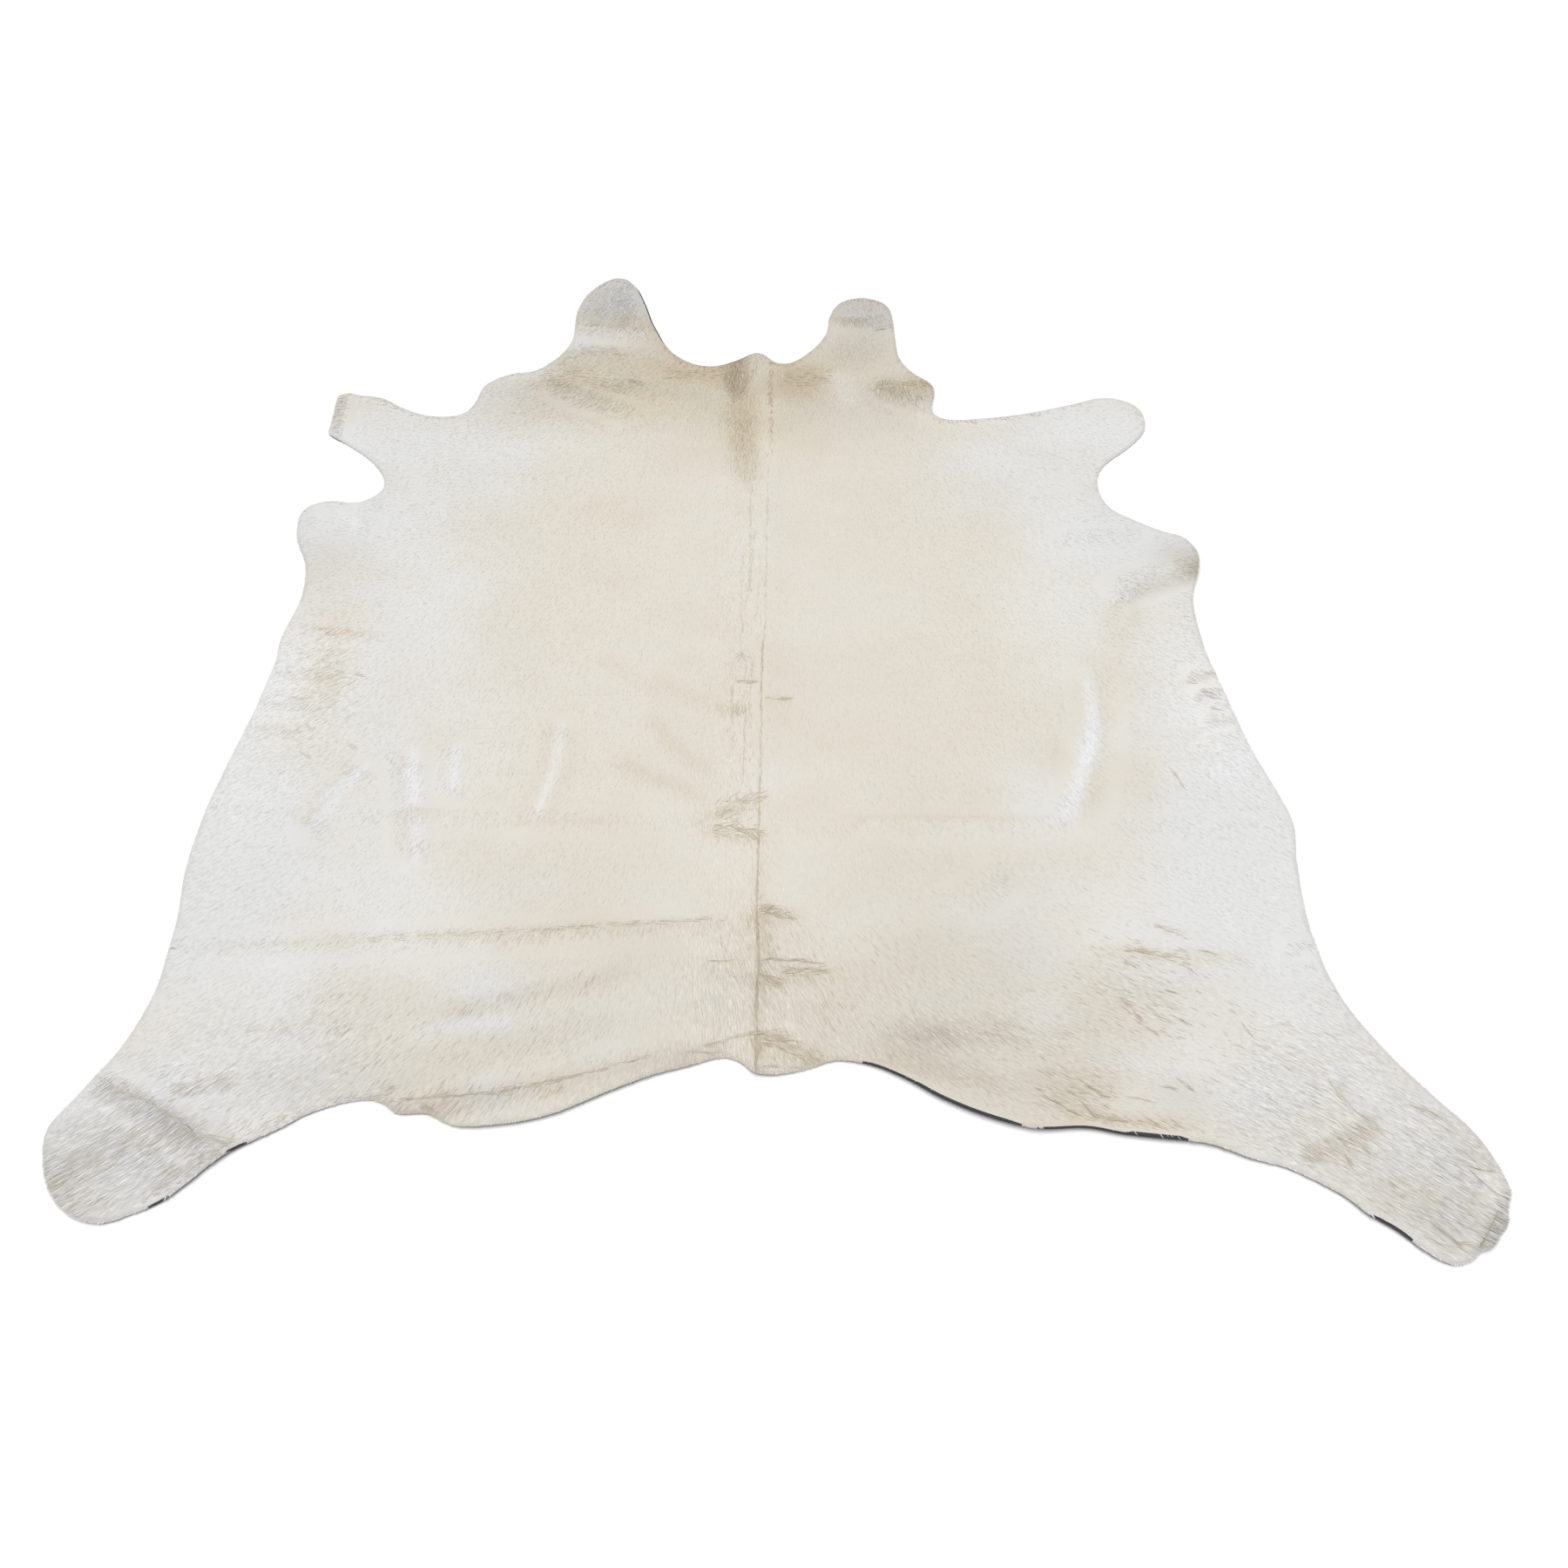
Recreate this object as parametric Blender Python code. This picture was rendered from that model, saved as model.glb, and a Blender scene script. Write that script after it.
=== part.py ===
"""Cowhide rug: one whole hide, tanned with its short hair on, lying flat on the floor.

Metres, +Z up. The tail points to -Y and the neck to +Y, and +X is on the right when the hide
is seen from the tail. The origin is on the floor under the middle of the hide's box.
"""

from collections import namedtuple
from math import ceil

import bmesh
import bpy
from mathutils import Vector, kdtree
from mathutils.geometry import interpolate_bezier

LEATHER = 0.0025
FLAT_HAIR = 0.0025
THICKNESS = LEATHER + FLAT_HAIR

# The coarser hair that stands a little higher on both sides of the spine's parting.
SPINE_HAIR = 0.003
SPINE_BAND = 0.045

# How far in from the cut edge a lifted rim comes down to the floor.
RIM_CURL = 0.085

# Spacing of the points along the cut edge, and of the cuts that divide the sheet.
EDGE_STEP = 0.022
CELL = 0.050
LEAST_EDGE = 0.004

HAIR_COLOUR = (0.72, 0.68, 0.60, 1.0)
HAIR_ROUGHNESS = 0.62

# A turn of the cut edge: its place across and along the hide, and how high the edge stands
# off the floor there.
Turn = namedtuple("Turn", "across along lift")

# A ripple or crease: where its crest starts and ends, how far its middle bows out to the right
# of that line, its half width at the foot, and its height.
Fold = namedtuple("Fold", "from_across from_along to_across to_along bow width rise")


def turns(*rows):
    return [Turn(*row) for row in rows]


def folds(*rows):
    return [Fold(*row) for row in rows]


# The cut edge runs counterclockwise from the tip of the neck's left prong.
LEFT_PRONG = turns(
    (-0.365, 1.105, 0.000),
    (-0.413, 1.075, 0.000),
    (-0.450, 0.994, 0.002),
    (-0.457, 0.864, 0.003),
    (-0.485, 0.806, 0.002),
    (-0.533, 0.766, 0.000),
)
LEFT_SHOULDER = turns(
    (-0.575, 0.759, 0.000),
    (-0.632, 0.713, 0.002),
    (-0.645, 0.661, 0.002),
    (-0.660, 0.631, 0.002),
    (-0.690, 0.618, 0.000),
    (-0.755, 0.624, 0.000),
    (-0.800, 0.644, 0.002),
    (-0.845, 0.672, 0.003),
)
LEFT_FORELEG = turns(
    (-0.900, 0.685, 0.000),
    (-0.938, 0.684, 0.002),
    (-0.946, 0.678, 0.003),
    (-0.946, 0.665, 0.003),
    (-0.943, 0.580, 0.003),
    (-0.943, 0.565, 0.003),
    (-0.936, 0.557, 0.002),
    (-0.905, 0.536, 0.000),
    (-0.833, 0.476, 0.000),
    (-0.800, 0.426, 0.003),
    (-0.795, 0.398, 0.003),
    (-0.805, 0.378, 0.003),
    (-0.837, 0.359, 0.000),
)
LEFT_BELLY = turns(
    (-0.912, 0.359, 0.000),
    (-0.943, 0.334, 0.002),
    (-0.944, 0.267, 0.003),
    (-0.909, 0.182, 0.000),
    (-0.900, 0.104, 0.000),
    (-0.914, -0.011, 0.004),
    (-0.910, -0.058, 0.005),
    (-0.914, -0.103, 0.006),
    (-0.921, -0.161, 0.005),
    (-0.942, -0.281, 0.003),
    (-0.957, -0.376, 0.000),
    (-0.960, -0.496, 0.000),
    (-0.950, -0.574, 0.000),
    (-0.946, -0.651, 0.003),
)
LEFT_HINDLEG = turns(
    (-0.949, -0.706, 0.000),
    (-0.965, -0.771, 0.000),
    (-0.984, -0.821, 0.003),
    (-1.023, -0.883, 0.002),
    (-1.044, -0.918, 0.000),
    (-1.036, -0.961, 0.000),
    (-1.016, -0.999, 0.002),
    (-0.995, -1.023, 0.004),
    (-0.965, -1.043, 0.004),
    (-0.926, -1.051, 0.003),
    (-0.888, -1.039, 0.002),
    (-0.850, -1.022, 0.003),
    (-0.824, -1.000, 0.005),
    (-0.780, -0.959, 0.005),
    (-0.707, -0.918, 0.003),
    (-0.665, -0.894, 0.002),
)
LEFT_RUMP = turns(
    (-0.586, -0.876, 0.000),
    (-0.563, -0.882, 0.000),
    (-0.542, -0.896, 0.002),
    (-0.498, -0.896, 0.002),
    (-0.456, -0.914, 0.004),
    (-0.412, -0.915, 0.006),
    (-0.325, -0.901, 0.006),
    (-0.233, -0.863, 0.006),
    (-0.175, -0.840, 0.005),
    (-0.115, -0.823, 0.003),
)
TAIL = turns(
    (-0.065, -0.811, 0.000),
    (-0.040, -0.820, 0.002),
    (-0.021, -0.835, 0.004),
    (0.000, -0.838, 0.003),
    (0.030, -0.835, 0.002),
    (0.056, -0.829, 0.000),
    (0.101, -0.816, 0.002),
)
RIGHT_RUMP = turns(
    (0.153, -0.824, 0.005),
    (0.204, -0.846, 0.007),
    (0.252, -0.874, 0.008),
    (0.320, -0.903, 0.009),
    (0.388, -0.920, 0.009),
    (0.463, -0.919, 0.007),
    (0.513, -0.928, 0.007),
    (0.575, -0.935, 0.008),
    (0.636, -0.942, 0.007),
)
RIGHT_HINDLEG = turns(
    (0.695, -0.963, 0.004),
    (0.737, -0.974, 0.003),
    (0.770, -0.990, 0.003),
    (0.815, -1.018, 0.004),
    (0.837, -1.039, 0.005),
    (0.868, -1.059, 0.005),
    (0.906, -1.090, 0.004),
    (0.935, -1.105, 0.002),
    (0.966, -1.098, 0.002),
    (0.976, -1.088, 0.003),
    (0.994, -1.084, 0.002),
    (1.010, -1.067, 0.000),
    (1.029, -1.050, 0.000),
    (1.032, -1.030, 0.002),
    (1.043, -1.010, 0.003),
    (1.040, -0.968, 0.000),
    (1.019, -0.920, 0.000),
    (0.981, -0.874, 0.000),
    (0.925, -0.800, 0.002),
    (0.884, -0.720, 0.000),
)
RIGHT_BELLY = turns(
    (0.864, -0.643, 0.003),
    (0.862, -0.566, 0.000),
    (0.870, -0.470, 0.000),
    (0.879, -0.406, 0.003),
    (0.860, -0.319, 0.003),
    (0.843, -0.259, 0.003),
    (0.830, -0.201, 0.005),
    (0.819, -0.142, 0.006),
    (0.805, -0.045, 0.003),
    (0.801, 0.004, 0.003),
    (0.803, 0.099, 0.004),
    (0.826, 0.174, 0.008),
    (0.830, 0.224, 0.005),
    (0.817, 0.256, 0.002),
)
RIGHT_FORELEG = turns(
    (0.771, 0.280, 0.000),
    (0.722, 0.310, 0.000),
    (0.681, 0.341, 0.002),
    (0.665, 0.408, 0.003),
    (0.680, 0.455, 0.000),
    (0.760, 0.534, 0.000),
    (0.791, 0.580, 0.002),
    (0.788, 0.636, 0.003),
    (0.760, 0.665, 0.002),
    (0.714, 0.676, 0.000),
)
RIGHT_SHOULDER = turns(
    (0.645, 0.656, 0.000),
    (0.547, 0.626, 0.002),
    (0.453, 0.612, 0.000),
    (0.370, 0.609, 0.000),
    (0.344, 0.622, 0.003),
    (0.341, 0.649, 0.003),
    (0.349, 0.709, 0.004),
    (0.303, 0.764, 0.003),
)
RIGHT_PRONG = turns(
    (0.281, 0.813, 0.000),
    (0.273, 0.921, 0.000),
    (0.265, 0.986, 0.003),
    (0.250, 1.008, 0.003),
    (0.206, 1.026, 0.002),
    (0.154, 1.011, 0.000),
    (0.133, 0.974, 0.000),
    (0.119, 0.899, 0.000),
    (0.083, 0.834, 0.002),
)
NECK_EDGE = turns(
    (0.033, 0.791, 0.002),
    (0.005, 0.790, 0.003),
    (-0.022, 0.816, 0.004),
    (-0.039, 0.824, 0.004),
    (-0.082, 0.800, 0.003),
    (-0.132, 0.784, 0.000),
    (-0.180, 0.793, 0.000),
    (-0.225, 0.827, 0.002),
    (-0.267, 0.904, 0.005),
    (-0.301, 1.009, 0.006),
    (-0.326, 1.069, 0.003),
)
CUT_EDGE = (
    LEFT_PRONG + LEFT_SHOULDER + LEFT_FORELEG + LEFT_BELLY + LEFT_HINDLEG + LEFT_RUMP + TAIL
    + RIGHT_RUMP + RIGHT_HINDLEG + RIGHT_BELLY + RIGHT_FORELEG + RIGHT_SHOULDER + RIGHT_PRONG
    + NECK_EDGE
)

# Soft ripples that run along the hide, on both flanks.
RIPPLES = folds(
    (-0.776, -0.430, -0.690, -0.265, 0.000, 0.040, 0.005),
    (-0.630, -0.235, -0.580, -0.485, 0.000, 0.045, 0.006),
    (-0.550, -0.225, -0.541, -0.355, 0.000, 0.035, 0.003),
    (-0.462, -0.215, -0.450, -0.310, 0.000, 0.035, 0.002),
    (-0.374, -0.165, -0.412, -0.425, -0.018, 0.045, 0.006),
    (0.573, -0.040, 0.485, -0.420, -0.032, 0.055, 0.008),
    (0.295, -0.555, 0.390, -0.485, 0.000, 0.050, 0.003),
)

# Creases that run across the hide, where it was folded for storage.
CREASES = folds(
    (-1.000, -0.632, 0.020, -0.580, 0.000, 0.036, 0.004),
    (-0.150, -0.660, 0.110, -0.660, 0.000, 0.032, 0.003),
    (-1.000, -0.376, -0.010, -0.396, 0.000, 0.034, 0.002),
    (0.000, -0.397, 0.930, -0.405, 0.000, 0.034, 0.002),
    (-0.900, 0.028, -0.710, 0.006, 0.000, 0.026, 0.002),
    (-0.900, -0.770, -0.600, -0.757, 0.000, 0.036, 0.002),
    (-0.340, -0.820, -0.010, -0.778, 0.000, 0.034, 0.003),
    (0.790, -0.628, 0.930, -0.628, 0.000, 0.024, 0.003),
)

# Puckers at the limbs, the neck and the belly's edges.
PUCKERS = folds(
    (-1.030, -0.828, -0.760, -0.968, -0.014, 0.034, 0.006),
    (0.740, -0.965, 0.885, -0.895, 0.000, 0.030, 0.004),
    (0.820, -0.830, 0.880, -0.915, 0.000, 0.030, 0.004),
    (1.050, -0.985, 0.965, -1.100, 0.000, 0.030, 0.005),
    (-0.924, 0.710, -0.912, 0.530, 0.000, 0.026, 0.006),
    (-0.500, 0.932, -0.230, 0.886, 0.000, 0.040, 0.005),
    (0.100, 0.948, 0.310, 0.944, 0.000, 0.034, 0.004),
    (-0.500, 0.740, -0.270, 0.625, 0.010, 0.045, 0.004),
    (0.200, 0.745, 0.380, 0.625, 0.000, 0.045, 0.005),
    (0.620, 0.100, 0.880, 0.205, -0.012, 0.050, 0.010),
    (0.540, 0.265, 0.740, 0.275, 0.008, 0.040, 0.003),
    (-0.980, 0.330, -0.760, 0.295, 0.008, 0.040, 0.003),
    (-0.950, -0.064, -0.750, -0.090, 0.000, 0.026, 0.002),
    (-0.940, -0.140, -0.800, -0.148, 0.000, 0.026, 0.002),
    (-0.940, -0.205, -0.800, -0.205, 0.000, 0.026, 0.002),
    (0.740, -0.080, 0.860, -0.092, 0.000, 0.024, 0.003),
    (0.745, -0.130, 0.870, -0.134, 0.000, 0.024, 0.003),
    (0.755, -0.180, 0.880, -0.186, 0.000, 0.024, 0.002),
)
ALL_FOLDS = RIPPLES + CREASES + PUCKERS

# The share of a fold's length over which it rises from the floor at each end.
FOLD_FADE = 0.22
CUTS_ACROSS_FOLD = (-0.75, 0.0, 0.75)

# The spine's parting, from the neck to the tail.
Parting = namedtuple("Parting", "along across")
SPINE = (
    Parting(0.850, -0.006),
    Parting(0.640, -0.014),
    Parting(-0.030, -0.012),
    Parting(-0.410, -0.016),
    Parting(-0.670, -0.024),
    Parting(-0.850, -0.018),
)


def remove_all_objects():
    for old in list(bpy.data.objects):
        bpy.data.objects.remove(old, do_unlink=True)


def smooth_edge():
    """The cut edge as (place, lift) pairs, on a smooth closed curve through its turns."""
    places = [Vector((turn.across, turn.along, 0)) for turn in CUT_EDGE]
    count = len(places)
    headings = []
    for i, place in enumerate(places):
        ahead = (places[(i + 1) % count] - place).normalized()
        behind = (place - places[i - 1]).normalized()
        headings.append((ahead + behind).normalized())
    edge = []
    for i, start in enumerate(places):
        after = (i + 1) % count
        end = places[after]
        reach = (end - start).length / 3
        steps = max(1, ceil((end - start).length / EDGE_STEP))
        curve = interpolate_bezier(
            start, start + headings[i] * reach, end - headings[after] * reach, end, steps + 1
        )
        for step, place in enumerate(curve[:-1]):
            share = step / steps
            lift = CUT_EDGE[i].lift * (1 - share) + CUT_EDGE[after].lift * share
            edge.append((place.to_2d(), lift))
    return edge


def bell(distance):
    """1 at the crest, 0 at the foot and beyond, level at both."""
    return (1 - distance * distance) ** 2 if abs(distance) < 1 else 0.0


def ease(share):
    share = min(1.0, max(0.0, share))
    return share * share * (3 - 2 * share)


def fold_height(fold, place):
    start = Vector((fold.from_across, fold.from_along))
    run = Vector((fold.to_across, fold.to_along)) - start
    length = run.length
    run = run / length
    right = Vector((run.y, -run.x))
    share = (place - start).dot(run) / length
    if not 0 < share < 1:
        return 0.0
    crest = fold.bow * 4 * share * (1 - share)
    fade = ease(share / FOLD_FADE) * ease((1 - share) / FOLD_FADE)
    return fold.rise * fade * bell(((place - start).dot(right) - crest) / fold.width)


def spine_across(along):
    for ahead, behind in zip(SPINE, SPINE[1:]):
        if along >= behind.along:
            share = min(1.0, (along - behind.along) / (ahead.along - behind.along))
            return behind.across + (ahead.across - behind.across) * share
    return SPINE[-1].across


class Lie:
    """How the hide lies: the height of its underside, and its thickness, at any place."""

    def __init__(self, edge):
        self.edge = edge
        self.tree = kdtree.KDTree(len(edge))
        for i, (place, _) in enumerate(edge):
            self.tree.insert(place.to_3d(), i)
        self.tree.balance()

    def underside(self, place):
        _, nearest, distance = self.tree.find(place.to_3d())
        rim = self.edge[nearest][1] * bell(min(1.0, distance / RIM_CURL))
        return rim + sum(fold_height(fold, place) for fold in ALL_FOLDS)

    def thickness(self, place):
        parting = abs(place.x - spine_across(place.y)) / SPINE_BAND
        return THICKNESS + SPINE_HAIR * bell(parting)


def cut_straight(sheet, faces, place, normal):
    """Divides these faces along a vertical plane."""
    edges = {edge for face in faces for edge in face.edges}
    corners = {vert for face in faces for vert in face.verts}
    bmesh.ops.bisect_plane(
        sheet,
        geom=list(faces) + list(edges) + list(corners),
        dist=LEAST_EDGE,
        plane_co=place,
        plane_no=normal,
    )


def cut_along_fold(sheet, fold):
    """Divides the faces under a fold along its crest and its two sides."""
    start = Vector((fold.from_across, fold.from_along, 0))
    end = Vector((fold.to_across, fold.to_along, 0))
    run = (end - start).normalized()
    right = Vector((run.y, -run.x, 0))
    halves = 2 if fold.bow else 1
    for half in range(halves):
        first = start.lerp(end, half / halves)
        last = start.lerp(end, (half + 1) / halves)
        if fold.bow:
            crest = right * fold.bow
            first, last = (first, last + crest) if half == 0 else (first + crest, last)
        middle = (first + last) / 2
        heading = (last - first).normalized()
        side = Vector((heading.y, -heading.x, 0))
        reach = (last - first).length / 2
        for share in CUTS_ACROSS_FOLD:
            near = [
                face for face in sheet.faces
                if abs((face.calc_center_median() - middle).dot(heading)) < reach
                and abs((face.calc_center_median() - middle).dot(side)) < fold.width + CELL / 2
            ]
            cut_straight(sheet, near, middle + side * share * fold.width, side)


def flat_sheet(edge):
    """The hide's outline as one face, divided into cells and along its folds."""
    sheet = bmesh.new()
    sheet.faces.new([sheet.verts.new(place.to_3d()) for place, _ in edge])
    for axis in (0, 1):
        normal = Vector((axis == 0, axis == 1, 0))
        low = min(place[axis] for place, _ in edge)
        high = max(place[axis] for place, _ in edge)
        for number in range(1, ceil((high - low) / CELL)):
            cut_straight(sheet, sheet.faces[:], normal * (low + number * CELL), normal)
    for fold in ALL_FOLDS:
        cut_along_fold(sheet, fold)
    bmesh.ops.triangulate(sheet, faces=sheet.faces[:], quad_method="BEAUTY", ngon_method="BEAUTY")
    return sheet


def thicken(sheet, lie):
    """Copies the sheet upwards for the hair side, and closes the cut edge between the two."""
    top = bmesh.ops.extrude_face_region(sheet, geom=sheet.faces[:], use_keep_orig=True)
    raised = {item for item in top["geom"] if isinstance(item, bmesh.types.BMVert)}
    for vert in sheet.verts:
        place = vert.co.to_2d()
        vert.co.z = lie.underside(place)
        if vert in raised:
            vert.co.z += lie.thickness(place)
    bmesh.ops.recalc_face_normals(sheet, faces=sheet.faces[:])


def hair_material():
    material = bpy.data.materials.new("cream_hair")
    material.use_nodes = True
    shader = material.node_tree.nodes["Principled BSDF"]
    shader.inputs["Base Color"].default_value = HAIR_COLOUR
    shader.inputs["Roughness"].default_value = HAIR_ROUGHNESS
    shader.inputs["Metallic"].default_value = 0.0
    return material


def make_hide():
    edge = smooth_edge()
    sheet = flat_sheet(edge)
    thicken(sheet, Lie(edge))
    places = [place for place, _ in edge]
    middle = Vector((
        (min(place.x for place in places) + max(place.x for place in places)) / 2,
        (min(place.y for place in places) + max(place.y for place in places)) / 2,
        0,
    ))
    bmesh.ops.translate(sheet, verts=sheet.verts[:], vec=-middle)
    mesh = bpy.data.meshes.new("hide")
    sheet.to_mesh(mesh)
    sheet.free()
    mesh.materials.append(hair_material())
    hide = bpy.data.objects.new("hide", mesh)
    bpy.context.scene.collection.objects.link(hide)
    return hide


def main():
    remove_all_objects()
    make_hide()


if __name__ == "__main__":
    main()
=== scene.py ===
"""Cowhide rug: the looks of one whole cream hide, tanned with its short hair on.

The hide lies flat on the floor with its tail towards -Y. Its cut edge comes from the frame. A
sheet of leather and flattened hair follows the solid's folds. On it lie four layers of small
locks along the nap, coarser locks at the legs, spine, neck and tail, darker ones in the partings,
darker ones of painted shadow in the creases, paler ones of painted highlight on crests, and a
fringe at the cut edge.
"""

import functools
import math
from collections import namedtuple

import bmesh
import bpy
import numpy as np
from bpy.props import FloatProperty, FloatVectorProperty, IntProperty, PointerProperty
from mathutils import Matrix, Vector, kdtree
from mathutils.geometry import interpolate_bezier


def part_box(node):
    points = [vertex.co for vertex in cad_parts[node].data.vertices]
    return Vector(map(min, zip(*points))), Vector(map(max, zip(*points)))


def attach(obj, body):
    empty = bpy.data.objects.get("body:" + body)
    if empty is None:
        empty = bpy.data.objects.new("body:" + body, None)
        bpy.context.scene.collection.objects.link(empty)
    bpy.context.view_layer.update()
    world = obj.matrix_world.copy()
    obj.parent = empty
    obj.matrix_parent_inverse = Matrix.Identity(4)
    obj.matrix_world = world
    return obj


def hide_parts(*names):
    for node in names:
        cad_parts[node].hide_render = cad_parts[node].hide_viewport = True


bl_info = {
    "name": "Cowhide Rug",
    "version": (1, 0, 0),
    "blender": (4, 5, 0),
    "location": "View3D > Sidebar > Rug",
    "description": "Builds a whole cream cowhide rug with its coat of hair, and its stage",
    "category": "Add Mesh",
}

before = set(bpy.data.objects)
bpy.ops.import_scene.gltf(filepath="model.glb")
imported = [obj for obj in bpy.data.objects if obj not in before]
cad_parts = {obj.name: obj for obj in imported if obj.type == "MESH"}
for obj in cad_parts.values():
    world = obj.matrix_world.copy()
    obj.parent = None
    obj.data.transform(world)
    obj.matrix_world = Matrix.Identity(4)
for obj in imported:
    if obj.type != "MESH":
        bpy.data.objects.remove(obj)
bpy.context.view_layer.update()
HIDE_LOW, HIDE_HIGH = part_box("hide")

# A ripple, crease or pucker: where its crest starts and ends, how far its middle bows out to
# the right of that line, its half width at the foot, and its height.
Fold = namedtuple("Fold", "from_across from_along to_across to_along bow width rise")

# Where the coat's colour or lie departs from plain cream: an oval, its half width and half
# length, how far it is turned, and what it adds to warmth, darkness and coarseness.
Patch = namedtuple("Patch", "across along half_width half_length turn warm dark coarse")

# The same along a line: how far its middle bows out to the right, and its half width.
Band = namedtuple("Band", "from_across from_along to_across to_along bow width warm dark coarse")

# A change of colour that is sudden at a line and fades to the right of its run.
Shade = namedtuple("Shade", "from_across from_along to_across to_along fade warm dark coarse")

# The way the hair points at a place: degrees from tailwards towards the right.
Nap = namedtuple("Nap", "across along heading")

# A stretch of the cut edge where a dark strip of charcoal suede shows, partly the flesh side
# and partly painted shade under the lifted edge, from one place to the next counterclockwise,
# and how wide it shows there.
DarkEdge = namedtuple("DarkEdge", "from_across from_along to_across to_along width")

# Locks of another shade strewn along a line: how far the line bows, how far they stray from it,
# how many there are, their darkness and warmth, and how far they turn aside, in degrees.
Stroke = namedtuple(
    "Stroke", "from_across from_along to_across to_along bow spread locks dark warm sway"
)

Parting = namedtuple("Parting", "along across")

# A value where the coat is smooth, and what full coarseness adds to it.
Rising = namedtuple("Rising", "smooth coarse")


def rows(kind, *lines):
    return [kind(*line) for line in lines]


RIPPLES = rows(
    Fold,
    (-0.776, -0.43, -0.69, -0.265, 0, 0.04, 0.005),
    (-0.63, -0.235, -0.58, -0.485, 0, 0.045, 0.006),
    (-0.55, -0.225, -0.541, -0.355, 0, 0.035, 0.002),
    (-0.462, -0.215, -0.45, -0.31, 0, 0.035, 0.001),
    (-0.374, -0.165, -0.412, -0.425, -0.018, 0.045, 0.006),
    (0.573, -0.04, 0.485, -0.42, -0.032, 0.055, 0.008),
    (0.295, -0.555, 0.39, -0.485, 0, 0.05, 0.003),
)
CREASES = rows(
    Fold,
    (-1, -0.632, 0.02, -0.58, 0, 0.036, 0.002),
    (-0.15, -0.66, 0.11, -0.66, 0, 0.032, 0.001),
    (-1, -0.376, -0.01, -0.396, 0, 0.034, 0.001),
    (0, -0.397, 0.93, -0.405, 0, 0.034, 0.001),
    (-0.9, 0.028, -0.71, 0.006, 0, 0.026, 0.001),
    (-0.9, -0.77, -0.6, -0.757, 0, 0.036, 0.001),
    (-0.34, -0.82, -0.01, -0.778, 0, 0.034, 0.001),
    (0.79, -0.628, 0.93, -0.628, 0, 0.024, 0.003),
)
PUCKERS = rows(
    Fold,
    (-1.03, -0.828, -0.76, -0.968, -0.014, 0.03, 0.003),
    (0.74, -0.965, 0.885, -0.895, 0, 0.024, 0.001),
    (0.82, -0.83, 0.88, -0.915, 0, 0.024, 0.001),
    (1.05, -0.985, 0.965, -1.1, 0, 0.03, 0.005),
    (-0.924, 0.71, -0.912, 0.53, 0, 0.026, 0.006),
    (-0.5, 0.932, -0.23, 0.886, 0, 0.04, 0.002),
    (0.1, 0.948, 0.31, 0.944, 0, 0.034, 0.004),
    (-0.5, 0.74, -0.27, 0.625, 0.01, 0.045, 0.004),
    (0.2, 0.745, 0.38, 0.625, 0, 0.045, 0.005),
    (0.62, 0.1, 0.88, 0.205, -0.012, 0.05, 0.01),
    (0.54, 0.265, 0.74, 0.275, 0.008, 0.04, 0.003),
    (-0.98, 0.33, -0.76, 0.295, 0.008, 0.04, 0.003),
    (-0.95, -0.064, -0.75, -0.09, 0, 0.026, 0.001),
    (-0.94, -0.14, -0.8, -0.148, 0, 0.026, 0.001),
    (-0.94, -0.205, -0.8, -0.205, 0, 0.026, 0.001),
    (0.74, -0.08, 0.86, -0.092, 0, 0.024, 0.003),
    (0.745, -0.13, 0.87, -0.134, 0, 0.024, 0.003),
    (0.755, -0.18, 0.88, -0.186, 0, 0.024, 0.002),
)
FOLDS = RIPPLES + CREASES + PUCKERS

# The share of a fold's or band's length over which each end fades, and how far in from a lifted
# cut edge the hide curls.
END_FADE = 0.22
RIM_CURL = 0.085

SPINE = rows(
    Parting,
    (0.85, -0.006),
    (0.64, -0.014),
    (-0.03, -0.012),
    (-0.41, -0.016),
    (-0.67, -0.024),
    (-0.85, -0.018),
)

NAP = rows(
    Nap,
    (-0.36, 1.05, -15),
    (0.21, 0.98, 12),
    (-0.44, 0.8, -40),
    (0.28, 0.74, -25),
    (-0.02, 0.76, 0),
    (-0.6, 0.64, -55),
    (0.43, 0.56, 40),
    (-0.88, 0.62, -95),
    (0.73, 0.6, 100),
    (-0.02, 0.35, 0),
    (-0.45, 0.3, -22),
    (0.4, 0.25, 22),
    (-0.86, 0.33, -75),
    (0.78, 0.23, 75),
    (-0.02, -0.1, 0),
    (-0.45, -0.1, -18),
    (0.4, -0.15, 18),
    (-0.88, -0.15, -50),
    (0.8, -0.15, 50),
    (-0.02, -0.5, 0),
    (-0.45, -0.5, -20),
    (0.38, -0.5, 30),
    (-0.9, -0.5, -42),
    (0.83, -0.5, 42),
    (-0.08, -0.8, -8),
    (0.04, -0.8, 14),
    (0.11, -0.64, 36),
    (0.14, -0.74, 40),
    (-0.35, -0.82, -30),
    (0.3, -0.8, 64),
    (0.56, -0.7, 66),
    (-0.7, -0.82, -46),
    (0.7, -0.82, 55),
    (-0.98, -0.94, -50),
    (0.96, -1.02, 50),
)

# How far each of these reaches, and the weight that it keeps beyond.
NAP_REACH = 0.15
NAP_EVERYWHERE = 1e-9

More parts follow.
